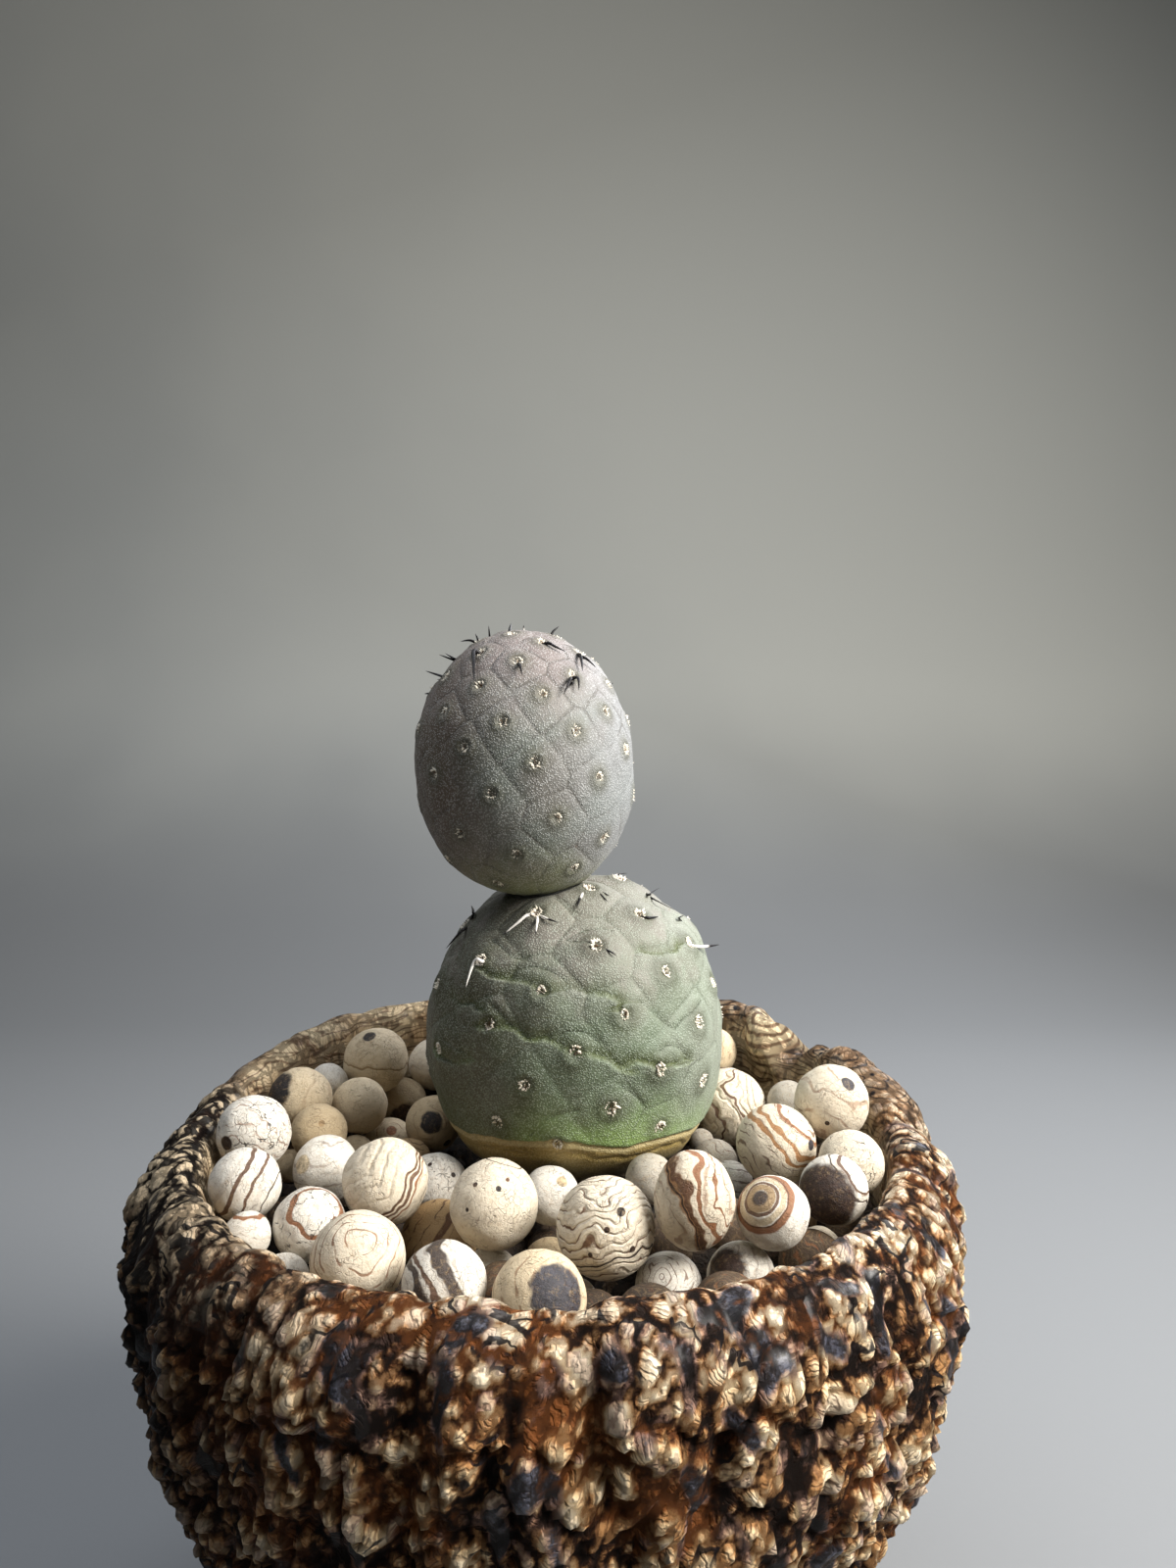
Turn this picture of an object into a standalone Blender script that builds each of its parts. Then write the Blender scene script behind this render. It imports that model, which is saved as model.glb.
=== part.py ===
"""Potted tephrocactus: two stem segments, the lower rooted in a rough clay pot under marbled clay balls.

Blender 4.5, metres, +Z up. The origin is the middle of the pot's foot, on the surface it stands on.
The cactus faces -Y. Lengths below are in millimetres and become metres where a mesh is made.
"""

import math
import random

import bmesh
import bpy
from mathutils import Vector, noise

MM = 0.001
CLEARANCE = 0.3           # gap that touching pieces keep

# Pot: outside profile from the foot up to the lip, then down the inside to the floor, as (radius, height)
POT_OUTSIDE = ((30.5, 0), (32.5, 1.2), (36, 8), (40.6, 18), (46.6, 30), (52, 43), (55.3, 54), (57.3, 65),
               (57.7, 74))
POT_LIP = ((55.4, 80.6), (51.4, 83.9), (48.6, 83.3), (47.4, 80.4))
POT_INSIDE = ((46.9, 74), (45.8, 58), (42.8, 40), (35.5, 22), (20, 11.5), (8, 10))
POT_FLOOR = 10            # inside floor at the middle
POT_SEGMENTS = 78
POT_STEP = 6.5            # about how far apart its rows of points are
FACET_SAG = 0.3           # how far the flat facets of the inside stand in from the round
LIP_LEVEL = 84            # crest of the lip at the front
LIP_LIFT = ((-180, 1), (-150, 0.3), (-90, 0), (-30, 0), (0, 1), (10, 3), (22, 4.6), (29, 3.6), (34.5, 0.8),
            (39, 6.2), (45, 6.6), (60, 6), (90, 5.4), (120, 5.6), (148, 5), (160, 3), (170, 1.6), (180, 1))
KNOB_AZIMUTH = 40.5       # rounded lump of the lip that leans in over the opening
KNOB_REACH = 3.4
DRAIN_HOLES = 3
DRAIN_RADIUS = 4
DRAIN_CIRCLE = 17
FURROW_DEPTH = 1.6
LUMP_HEIGHT = 2.3

# Cactus segments: profile and where each stands. "wide" is the share of the height where it is widest
LOWER = {"x": 3.6, "y": 14.0, "bottom": 75.3, "height": 42.4, "radius": 22.6, "low": 1.96, "high": 2.24,
         "wide": 0.39, "base": 0.52, "lean": 0.0, "rows": 19, "segments": 42, "groove": 0.75, "swell": 0.55}
UPPER = {"x": -3.5, "y": 11.0, "bottom": 115.8, "height": 39.5, "radius": 16.3, "low": 2.1, "high": 2.0,
         "wide": 0.49, "base": 0.0, "lean": -0.018, "rows": 17, "segments": 34, "groove": 0.25, "swell": 0.2}
ROOT = ((9, -2.6), (5.5, -4.4), (4.2, -8), (3.4, -15), (2.2, -20))    # (radius, height over its base)
ROOT_HOLE = 0.5           # the plain hole in the soil is this much wider than the root

# Areoles climb one helix: each is this many degrees round from the last, from the front to the right
LOWER_AREOLES = {"first": -19, "last": 29, "turn": 99.45, "phase": -0.8, "level": 96.9, "rise": 0.74,
                 "bend": -0.0009, "pull": 5.0}
UPPER_AREOLES = {"first": -26, "last": 41, "turn": 99.61, "phase": 6.2, "level": 136.36, "rise": 0.6,
                 "bend": -0.0036, "pull": 0.0}
# The lower segment's skin has creased and moved some of them, sideways and up, in mm
LOWER_NUDGES = {-18: (1.4, 1), -15: (-4.7, -0.5), -14: (6, 0.2), -11: (0, 0.6), -8: (-5.9, -0.7),
                -7: (1.8, 0.8), -4: (-0.8, 0), 7: (-0.9, 0), 10: (-2, -1.5), 14: (-0.6, -0.4), 18: (0.7, 0.8),
                21: (0, -3.2), 22: (0.5, 1.4), 25: (3.3, -1.1), 29: (2.8, -0.8)}
AREOLE_RADIUS = 1.15
AREOLE_STANDS = 0.3       # how far an areole cushion stands out
SPINE_RADIUS = 0.34       # at its root
SPINE_SUNK = 1.0
LOWER_SPINY_ABOVE = 106   # areoles higher than this carry spines
UPPER_SPINY_ABOVE = 146

# Soil, heaped under the balls
SOIL_RINGS = 11
SOIL_SEGMENTS = 46
SOIL_DEPTH_STEPS = ((45.8, 62), (43.2, 44.5), (36.2, 25.5), (20.4, 13.4))    # side and underside
SOIL_REACH = 46.0
SOIL_BED = 0.78           # balls are bedded this share of their radius below their middle
SOIL_LOW = 66.0
SOIL_HIGH = 81.3
SOIL_FEEL = (0, 1.7, 3.5)  # how far round a point the bed feels for balls, as its own points are coarse
SOIL_SLOPE = 0.7
BURIED = 10               # balls half sunk in the soil, where the heap leaves it barest
BURIED_RADIUS = 4.3
BURIED_STANDS = 1.4       # how far their middles stand above the bed
BURIED_TOP = 80           # none of them reaches higher
BURIED_SPOTS = 700
BURIED_SEED = 3

# Marbled clay balls, as (x, y, height of the middle, diameter) in mm, in banks as they lie in the pot
LEFT_BANK = ((-42, -3, 84, 10.5), (-40, -15.5, 82, 9.5), (-37.5, -22.5, 78.5, 6), (-30.5, -18.5, 78, 9.5),
             (-22, -29.5, 79, 11.5), (-32, -2.5, 78.5, 9.5), (-21.5, -13.5, 81.5, 11.5),
             (-35, 6, 80.5, 8.5),
             (-40, 13.5, 82.5, 10), (-31.5, 18, 80, 9), (-37.5, 23, 82, 6.5), (-30.5, 27, 84, 11),
             (-26, 30.5, 76, 8), (-19.5, 19, 76.5, 9), (-22, 36.5, 80.5, 9), (-27, 21.5, 72, 8.5),
             (-22.5, 12, 73, 7.5), (-16.5, 0, 75, 9), (-40, 8.5, 74, 5), (-32, -26, 74.5, 6.5),
             (-31, 13.5, 74, 6))
FRONT_BANK = ((-6.5, -19, 81, 11.5), (-14.5, -12.5, 73, 10.5), (-11, -35, 78.8, 10), (0, -36.5, 78, 11),
              (4, -25, 71, 6), (-7, -19, 71.5, 7), (0.5, -8.5, 77.5, 8), (8, -24.5, 80.5, 12.5),
              (0.5, -15.5, 71, 7), (14, -6.5, 79, 7), (15.5, -25.5, 73.5, 8.5), (19, -25.5, 84.5, 10.5),
              (28, -25.5, 83, 9), (24.5, -26, 75, 8.5))
RIGHT_BANK = ((41.5, 3, 86.2, 11), (41.5, -10, 82.5, 9), (37.5, -18, 82.5, 9), (32.5, -2.5, 82, 11.5),
              (28, 21, 78.5, 12.5), (38, 21, 79.5, 7), (27.5, 33, 84, 8.5), (25, 9, 74.5, 7),
              (26.5, 2, 74, 7),
              (23.5, 14, 75.5, 4), (36.5, -14, 72, 6.5), (35, -5, 72, 6))
BACK_BANK = ((-12.5, 39.5, 80, 10), (-3, 41.5, 80.5, 9.5), (7, 41.3, 80, 10), (17, 38.5, 81, 9.5),
             (-9, 33.5, 74, 7), (21, 28.5, 73, 8), (36, 12, 74, 8), (-33, -10, 72.8, 7.5),
             (-13, -27, 72.7, 8))
EGG = 33                  # the one ball that is taller than wide, counted from 1
EGG_STRETCH = (0.97, 0.97, 1.17)
BALL_GAP = 0.12
SETTLE_ROUNDS = 220

COLOURS = {
    "pot": (0.30, 0.19, 0.11),
    "soil": (0.06, 0.045, 0.035),
    "cactus_lower_segment": (0.27, 0.34, 0.25),
    "cactus_upper_segment": (0.36, 0.35, 0.33),
    "clay_ball": (0.78, 0.72, 0.62),
}


def clear_scene():
    for obj in list(bpy.data.objects):
        bpy.data.objects.remove(obj, do_unlink=True)


def make_material(name, roughness):
    material = bpy.data.materials.new(name)
    material.use_nodes = True
    shader = material.node_tree.nodes["Principled BSDF"]
    shader.inputs["Base Color"].default_value = (*COLOURS[name], 1)
    shader.inputs["Roughness"].default_value = roughness
    shader.inputs["Metallic"].default_value = 0
    return material


def make_object(name, points, faces, material):
    """A mesh object from points in millimetres."""
    mesh = bpy.data.meshes.new(name)
    mesh.from_pydata([Vector(p) * MM for p in points], [], faces)
    mesh.materials.append(material)
    mesh.shade_smooth()
    mesh.set_sharp_from_angle(angle=math.radians(40))
    obj = bpy.data.objects.new(name, mesh)
    bpy.context.scene.collection.objects.link(obj)
    return obj


def smooth_step(low, high, value):
    t = min(max((value - low) / (high - low), 0), 1)
    return t * t * (3 - 2 * t)


def through(stations, value):
    """Smooth value between (place, height) stations."""
    for (x0, y0), (x1, y1) in zip(stations, stations[1:]):
        if value <= x1:
            return y0 + (y1 - y0) * smooth_step(x0, x1, value)
    return stations[-1][1]


def rounded(stations, step):
    """Points of a smooth curve through the stations, about a step apart."""
    ends = [stations[0], *stations, stations[-1]]
    curve = [stations[0]]
    for before, start, end, after in zip(ends, ends[1:], ends[2:], ends[3:]):
        steps = max(round(math.dist(start, end) / step), 1)
        for i in range(1, steps + 1):
            t = i / steps
            curve.append(tuple(
                0.5 * (2 * b + (c - a) * t + (2 * a - 5 * b + 4 * c - d) * t ** 2
                       + (3 * b - a - 3 * c + d) * t ** 3)
                for a, b, c, d in zip(before, start, end, after)))
    return curve


def lathe_grid(rows, count, point):
    """Points and quads of a closed body of turned rows, with one point at each pole."""
    points = [point(rows[0], 0, True)]
    for row in rows[1:-1]:
        for i in range(count):
            points.append(point(row, 2 * math.pi * i / count, False))
    points.append(point(rows[-1], 0, True))
    faces = []
    last = len(points) - 1
    for i in range(count):
        j = (i + 1) % count
        faces.append((0, 1 + j, 1 + i))
        for r in range(len(rows) - 3):
            a = 1 + r * count
            faces.append((a + i, a + j, a + count + j, a + count + i))
        b = 1 + (len(rows) - 3) * count
        faces.append((b + i, b + j, last))
    return points, faces


def cut(target, cutter):
    """Applies a Boolean difference and removes the cutter."""
    cutter.hide_render = True
    cutter.display_type = "WIRE"
    modifier = target.modifiers.new("cut", "BOOLEAN")
    modifier.operation = "DIFFERENCE"
    modifier.solver = "EXACT"
    modifier.object = cutter
    apply_modifiers(target)
    bpy.data.objects.remove(cutter, do_unlink=True)


def join_all(target, pieces):
    """Applies one Boolean union of the target with every piece, and removes the pieces."""
    collection = bpy.data.collections.new(target.name + "_pieces")
    for piece in pieces:
        bpy.context.scene.collection.objects.unlink(piece)
        collection.objects.link(piece)
    modifier = target.modifiers.new("join", "BOOLEAN")
    modifier.operation = "UNION"
    modifier.solver = "EXACT"
    modifier.operand_type = "COLLECTION"
    modifier.collection = collection
    apply_modifiers(target)
    for piece in pieces:
        bpy.data.objects.remove(piece, do_unlink=True)
    bpy.data.collections.remove(collection)


def apply_modifiers(target):
    graph = bpy.context.evaluated_depsgraph_get()
    graph.update()
    mesh = bpy.data.meshes.new_from_object(target.evaluated_get(graph))
    old = target.data
    target.modifiers.clear()
    target.data = mesh
    bpy.data.meshes.remove(old)


def cylinder(name, x, y, low, high, radius, sides):
    """A plain upright cylinder, used as a cutter."""
    ring = [(x + radius * math.cos(2 * math.pi * i / sides), y + radius * math.sin(2 * math.pi * i / sides))
            for i in range(sides)]
    points = [(px, py, low) for px, py in ring] + [(px, py, high) for px, py in ring]
    faces = [tuple(reversed(range(sides))), tuple(range(sides, 2 * sides))]
    faces += [(i, (i + 1) % sides, sides + (i + 1) % sides, sides + i) for i in range(sides)]
    mesh = bpy.data.meshes.new(name)
    mesh.from_pydata([Vector(p) * MM for p in points], [], faces)
    obj = bpy.data.objects.new(name, mesh)
    bpy.context.scene.collection.objects.link(obj)
    return obj


def lip_lift(angle):
    degrees = math.degrees(math.atan2(math.sin(angle), math.cos(angle)))
    return through(LIP_LIFT, degrees)


def bark(angle, height):
    """Relief of the torn clay skin: upright furrows between coarse lumps, in millimetres."""
    across = Vector((math.cos(angle), math.sin(angle), 0))
    furrow = noise.noise(across * 3.4 + Vector((0, 0, height * 0.014 + 3.1)))
    lump = noise.noise(across * 6.4 + Vector((5.2, 0, height * 0.11)))
    return LUMP_HEIGHT * lump - FURROW_DEPTH * math.exp(-(furrow / 0.09) ** 2) + 0.25


def knob(angle):
    off = math.degrees(math.atan2(math.sin(angle), math.cos(angle))) - KNOB_AZIMUTH
    return math.exp(-(off / 4.6) ** 2)


def pot_point(row, angle, pole):
    radius, height, skin = row
    if pole:
        return (0, 0, height)
    lift = lip_lift(angle) * smooth_step(56, LIP_LEVEL, height)
    wall = smooth_step(2, 12, height)
    radius += skin * wall * bark(angle, height)
    if skin < 1:
        radius -= KNOB_REACH * knob(angle) * smooth_step(76, 80, height)
    return (radius * math.cos(angle), radius * math.sin(angle), height + lift)


def build_pot(material):
    rows = [(0, 0, 0), (17, 0, 0)]
    rows += [(r, z, 1.0) for r, z in rounded(POT_OUTSIDE, POT_STEP)]
    rows += [(r, z, s) for (r, z), s in zip(POT_LIP, (1.0, 0.7, 0.4, 0.2))]
    rows += [(r, z, 0.0) for r, z in POT_INSIDE]
    rows += [(0, POT_FLOOR, 0)]
    points, faces = lathe_grid(rows, POT_SEGMENTS, pot_point)
    pot = make_object("pot", points, faces, material)
    for i in range(DRAIN_HOLES):
        turn = 2 * math.pi * (i + 0.5) / DRAIN_HOLES
        x, y = DRAIN_CIRCLE * math.cos(turn), DRAIN_CIRCLE * math.sin(turn)
        cut(pot, cylinder("drain", x, y, -5, POT_FLOOR + 5, DRAIN_RADIUS, 12))
    return pot


def pot_inside(height, angle):
    """Inside radius of the pot at a height."""
    stations = [(z, r) for r, z in reversed(POT_INSIDE)] + [(z, r) for r, z in reversed(POT_LIP)]
    level = height - lip_lift(angle) * smooth_step(56, LIP_LEVEL, height)
    for (z0, r0), (z1, r1) in zip(stations, stations[1:]):
        if level <= z1:
            inside = r0 + (r1 - r0) * max(level - z0, 0) / (z1 - z0)
            break
    else:
        inside = stations[-1][1]
    return inside - KNOB_REACH * knob(angle) * smooth_step(76, 80, level) - FACET_SAG


def profile(segment, share):
    """Radius of a stem segment at a share of its height."""
    wide = segment["wide"]
    if share < wide:
        fall = (wide - share) / wide
        curve = max(1 - fall ** segment["low"], 0) ** (1 / segment["low"])
        return segment["radius"] * (segment["base"] + (1 - segment["base"]) * curve)
    fall = min((share - wide) / (1 - wide), 1)
    return segment["radius"] * max(1 - fall ** segment["high"], 0) ** (1 / segment["high"])


def segment_point(segment, share, angle):
    """Point of the smooth surface; the angle runs from the front to the right."""
    radius = profile(segment, share)
    height = segment["height"] * share
    x = segment["x"] + segment["lean"] * height + radius * math.sin(angle)
    return Vector((x, segment["y"] - radius * math.cos(angle), segment["bottom"] + height))


def segment_normal(segment, share, angle):
    share = min(max(share, 0.01), 0.99)
    along = segment_point(segment, share + 0.005, angle) - segment_point(segment, share - 0.005, angle)
    side = segment_point(segment, share, angle + 0.02) - segment_point(segment, share, angle - 0.02)
    return side.cross(along).normalized()


def areole_places(segment, rule, nudges):
    """(index, share of the height, angle) of each areole."""
    places = []
    for k in range(rule["first"], rule["last"] + 1):
        sideways, up = nudges.get(k, (0, 0))
        height = rule["level"] + rule["rise"] * k + rule["bend"] * k * k + up
        share = (height - segment["bottom"]) / segment["height"]
        degrees = rule["phase"] - rule["turn"] * k
        degrees -= rule["pull"] * math.sin(math.radians(degrees))
        angle = math.radians(degrees) + sideways / max(profile(segment, share), 3)
        places.append((k, share, angle))
    return places


def relief(segment, point, centres):
    """Low swelling round each areole and a groove where two swellings meet, in millimetres."""
    near = sorted((point - c).length_squared for c in centres)[:2]
    first, second = math.sqrt(near[0]), math.sqrt(near[1])
    groove = math.exp(-((second - first) / 1.6) ** 2)
    return segment["swell"] * math.exp(-(first / 3.2) ** 2) - segment["groove"] * groove


def clear_of_upper(point, margin):
    """Moves a point of the lower segment down until it is clear of the upper one."""
    for _ in range(60):
        share = (point.z - UPPER["bottom"] + margin) / UPPER["height"]
        if share <= 0:
            break
        x = UPPER["x"] + UPPER["lean"] * (point.z - UPPER["bottom"])
        away = math.hypot(point.x - x, point.y - UPPER["y"])
        if away > profile(UPPER, share) + margin:
            break
        point.z -= 0.1
    return point


def segment_body(name, segment, rule, nudges, root, material):
    places = areole_places(segment, rule, nudges)
    centres = [segment_point(segment, share, angle) for _, share, angle in places]
    steps = segment["rows"]
    shares = [0.5 - 0.5 * math.cos(math.pi * i / steps) for i in range(steps + 1)]
    rows = [("root", r, segment["bottom"] + z) for r, z in reversed(root)]
    rows += [("skin", share, 0) for share in shares[(0 if root else 1):-1]]
    lowest = root[-1][1] if root else 0
    rows.insert(0, ("pole", 0, segment["bottom"] + lowest))
    rows.append(("pole", 0, segment["bottom"] + segment["height"]))

    def point(row, angle, pole):
        kind, value, height = row
        if pole:
            lean = segment["lean"] * (height - segment["bottom"])
            return Vector((segment["x"] + lean, segment["y"], height))
        if kind == "root":
            return Vector((segment["x"] + value * math.cos(angle),
                           segment["y"] + value * math.sin(angle), height))
        facing = angle + math.pi / 2
        spot = segment_point(segment, value, facing)
        spot += segment_normal(segment, value, facing) * relief(segment, spot, centres)
        return clear_of_upper(spot, 0.55) if segment is LOWER else spot

    points, faces = lathe_grid(rows, segment["segments"], point)
    return make_object(name, points, faces, material), places


def cone(base, tip, radius, sides):
    """A slim solid spine from base to tip."""
    axis = (tip - base).normalized()
    side = axis.orthogonal().normalized()
    other = axis.cross(side)
    ring = [base + radius * (side * math.cos(2 * math.pi * i / sides)
                             + other * math.sin(2 * math.pi * i / sides))
            for i in range(sides)]
    faces = [tuple(reversed(range(sides)))] + [(i, (i + 1) % sides, sides) for i in range(sides)]
    return ring + [tip], faces


def areole_cushion(centre, normal, up):
    """A low five-sided cushion, its root sunk into the skin."""
    side = up.cross(normal).normalized()
    up = normal.cross(side)
    points = []
    for depth, size in ((-0.9, 0.8), (AREOLE_STANDS, 1.0)):
        for i in range(5):
            turn = 2 * math.pi * i / 5
            reach = AREOLE_RADIUS * size
            points.append(centre + normal * depth + side * reach * 0.85 * math.cos(turn)
                          + up * reach * math.sin(turn))
    faces = [(4, 3, 2, 1, 0), (5, 6, 7, 8, 9)]
    faces += [(i, (i + 1) % 5, 5 + (i + 1) % 5, 5 + i) for i in range(5)]
    return points, faces


def spine_lines(k, count, centre, normal, down, right):
    """Root and tip of each spine of an areole, spread by a seeded draw."""
    draw = random.Random(700 + k)
    lines = []
    for i in range(count):
        turn = math.radians(360 * i / count + draw.uniform(-40, 40))
        tilt = math.radians(draw.uniform(42, 62))
        length = draw.uniform(3.2, 5.2)
        aim = normal * math.cos(tilt) + (down * math.cos(turn) + right * math.sin(turn)) * math.sin(tilt)
        lines.append((centre - aim * SPINE_SUNK, centre + aim * length))
    return lines


def grow_areoles(obj, segment, places, spiny_above, material):
    """Fuses the areole cushions and the spines into their segment."""
    pieces = []
    for k, share, angle in places:
        centre = segment_point(segment, share, angle)
        normal = segment_normal(segment, share, angle)
        if segment is LOWER and covered(centre, 2.2):
            continue
        right = Vector((math.cos(angle), math.sin(angle), 0))
        down = normal.cross(right).normalized()
        if down.z > 0:
            down = -down
        points, faces = areole_cushion(centre, normal, -down)
        pieces.append(make_object(f"areole_{k}", points, faces, material))
        if centre.z < spiny_above:
            continue
        count = 1 if k % 2 else 2
        for number, (root, tip) in enumerate(spine_lines(k, count, centre, normal, down, right)):
            if segment is LOWER and covered(tip, 1.2):
                continue
            points, faces = cone(root, tip, SPINE_RADIUS, 3)
            pieces.append(make_object(f"spine_{k}_{number}", points, faces, material))
    join_all(obj, pieces)


def covered(point, margin):
    """Whether a point lies in the upper segment or within a margin of it."""
    share = (point.z - UPPER["bottom"]) / UPPER["height"]
    away = math.hypot(point.x - UPPER["x"], point.y - UPPER["y"])
    return point.z > UPPER["bottom"] - margin and away < profile(UPPER, min(max(share, 0.12), 1)) + margin


def lower_radius(height):
    share = (height - LOWER["bottom"]) / LOWER["height"]
    return profile(LOWER, share) + LOWER["swell"] if share > 0 else 0


def settle_balls():
    """The balls where they lie, pushed apart until none touches another, the pot or the cactus."""
    balls = []
    for x, y, z, size in LEFT_BANK + FRONT_BANK + RIGHT_BANK + BACK_BANK:
        balls.append([Vector((x, y, z)), size / 2])
    for _ in range(SETTLE_ROUNDS):
        for i, (place, radius) in enumerate(balls):
            for j in range(i + 1, len(balls)):
                other, reach = balls[j]
                apart = place - other
                short = radius + reach + BALL_GAP - apart.length
                if short > 0:
                    push = apart.normalized() * short * 0.5
                    balls[i][0] = place = place + push
                    balls[j][0] = other - push
            balls[i][0] = keep_clear(place, radius)
    return balls


def keep_clear(place, radius):
    """Moves a ball off the pot's inside and off the cactus."""
    spot = place.copy()
    angle = math.atan2(spot.y, spot.x)
    for part in (-0.6, 0, 0.6):
        half = radius * math.sqrt(1 - part * part)
        limit = pot_inside(spot.z + part * radius, angle) - CLEARANCE - half
        away = math.hypot(spot.x, spot.y)
        if away > limit:
            spot.x *= limit / away
            spot.y *= limit / away
    for part in (-0.6, -0.3, 0, 0.3, 0.6, 0.9):
        half = radius * math.sqrt(1 - part * part)
        off = Vector((spot.x - LOWER["x"], spot.y - LOWER["y"], 0))
        short = lower_radius(spot.z + part * radius) + CLEARANCE + half - off.length
        if short > 0:
            spot += off.normalized() * short
    return spot


def ball_object(name, place, radius, material, stretch=(1, 1, 1)):
    mesh = bpy.data.meshes.new(name)
    form = bmesh.new()
    bmesh.ops.create_icosphere(form, subdivisions=2, radius=radius * MM)
    bmesh.ops.scale(form, vec=stretch, verts=form.verts)
    form.to_mesh(mesh)
    form.free()
    mesh.materials.append(material)
    mesh.shade_smooth()
    obj = bpy.data.objects.new(name, mesh)
    obj.location = place * MM
    bpy.context.scene.collection.objects.link(obj)
    return obj


def build_balls(balls, material):
    for number, (place, radius) in enumerate(balls, 1):
        stretch = EGG_STRETCH if number == EGG else (1, 1, 1)
        ball_object(f"clay_ball_{number:02d}", place, radius, material, stretch)


def under_balls(x, y, balls):
    """Height that keeps the soil clear of every ball over a spot, with gentle slopes beside them."""
    lowest = SOIL_HIGH
    for place, radius in balls:
        reach = radius + CLEARANCE
        off = math.hypot(x - place.x, y - place.y)
        hollow = math.sqrt(max(reach * reach - off * off, 0))
        lowest = min(lowest, place.z - hollow + SOIL_SLOPE * max(off - reach, 0))
    return lowest


def soil_height(x, y, balls):
    """The bed follows the balls' undersides and stays below the base of the cactus."""
    total, weight = 70.0 * 0.02, 0.02
    for place, radius in balls:
        share = math.exp(-((x - place.x) ** 2 + (y - place.y) ** 2) / (2 * 4.0 ** 2))
        total += share * (place.z - SOIL_BED * radius)
        weight += share
    height = min(max(total / weight, SOIL_LOW), SOIL_HIGH)
    for reach in SOIL_FEEL:
        for i in range(8):
            dx, dy = reach * math.cos(math.pi * i / 4), reach * math.sin(math.pi * i / 4)
            height = min(height, under_balls(x + dx, y + dy, balls))
    near = math.hypot(x - LOWER["x"], y - LOWER["y"])
    floor = LOWER["bottom"] + ROOT[1][1] - 0.8
    edge = lower_radius(80)
    return min(height, floor + (SOIL_HIGH - floor) * smooth_step(edge - 4, edge + 6, near))


def room_at(place, balls):
    """How large a ball fits at a place between the balls, the pot and the cactus."""
    turn = math.atan2(place.y, place.x)
    room = pot_inside(place.z, turn) - CLEARANCE - math.hypot(place.x, place.y)
    from_stem = math.hypot(place.x - LOWER["x"], place.y - LOWER["y"]) - lower_radius(BURIED_TOP)
    room = min(room, from_stem - CLEARANCE)
    for other, radius in balls:
        room = min(room, (place - other).length - radius - CLEARANCE)
    return room


def bury_balls(balls):
    """Balls half sunk in the soil, each in the widest gap that is left."""
    draw = random.Random(BURIED_SEED)
    spots = []
    for _ in range(BURIED_SPOTS):
        reach, turn = SOIL_REACH * math.sqrt(draw.random()), draw.uniform(0, 2 * math.pi)
        x, y = reach * math.cos(turn), reach * math.sin(turn)
        spots.append(Vector((x, y, soil_height(x, y, balls) + BURIED_STANDS)))
    buried = []
    for _ in range(BURIED):
        room, number = max((room_at(spot, balls + buried), number) for number, spot in enumerate(spots))
        buried.append([spots[number], min(room, BURIED_RADIUS)])
    return buried


def build_soil(balls, material):
    rows = [("top", 0)] + [("top", i / SOIL_RINGS) for i in range(1, SOIL_RINGS + 1)]
    rows += [("side", i) for i in range(len(SOIL_DEPTH_STEPS))] + [("end", 0)]

    def point(row, angle, pole):
        kind, value = row
        if kind == "end":
            return (0, 0, POT_FLOOR + 1.2)
        if kind == "side":
            radius, height = SOIL_DEPTH_STEPS[value]
            radius -= 0.6
        else:
            radius = SOIL_REACH * value
            height = soil_height(radius * math.cos(angle), radius * math.sin(angle), balls)
        return (radius * math.cos(angle), radius * math.sin(angle), height)

    points, faces = lathe_grid(rows, SOIL_SEGMENTS, point)
    soil = make_object("soil", points, [tuple(reversed(f)) for f in faces], material)
    low, high = LOWER["bottom"] + ROOT[-1][1] - 1, SOIL_HIGH + 5
    cut(soil, cylinder("root_hole", LOWER["x"], LOWER["y"], low, high, ROOT[1][0] + ROOT_HOLE, 16))
    join_all(soil, [ball_object(f"buried_{i}", place, radius, material)
                    for i, (place, radius) in enumerate(bury_balls(balls))])
    return soil


def build():
    clear_scene()
    build_pot(make_material("pot", 0.7))
    lower_skin = make_material("cactus_lower_segment", 0.6)
    upper_skin = make_material("cactus_upper_segment", 0.6)
    lower, lower_places = segment_body("cactus_lower_segment", LOWER, LOWER_AREOLES, LOWER_NUDGES, ROOT,
                                       lower_skin)
    upper, upper_places = segment_body("cactus_upper_segment", UPPER, UPPER_AREOLES, {}, (), upper_skin)
    grow_areoles(lower, LOWER, lower_places, LOWER_SPINY_ABOVE, lower_skin)
    grow_areoles(upper, UPPER, upper_places, UPPER_SPINY_ABOVE, upper_skin)
    balls = settle_balls()
    build_balls(balls, make_material("clay_ball", 0.65))
    build_soil(balls, make_material("soil", 0.9))


build()
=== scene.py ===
# Looks of the potted tephrocactus: two velvety stem segments among marbled clay balls in a torn clay bowl.
# Lengths in the dictionaries are millimetres, angles degrees; meshes are written in metres.

import math
import random

import bmesh
import bpy
import numpy as np
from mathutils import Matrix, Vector, noise


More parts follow.
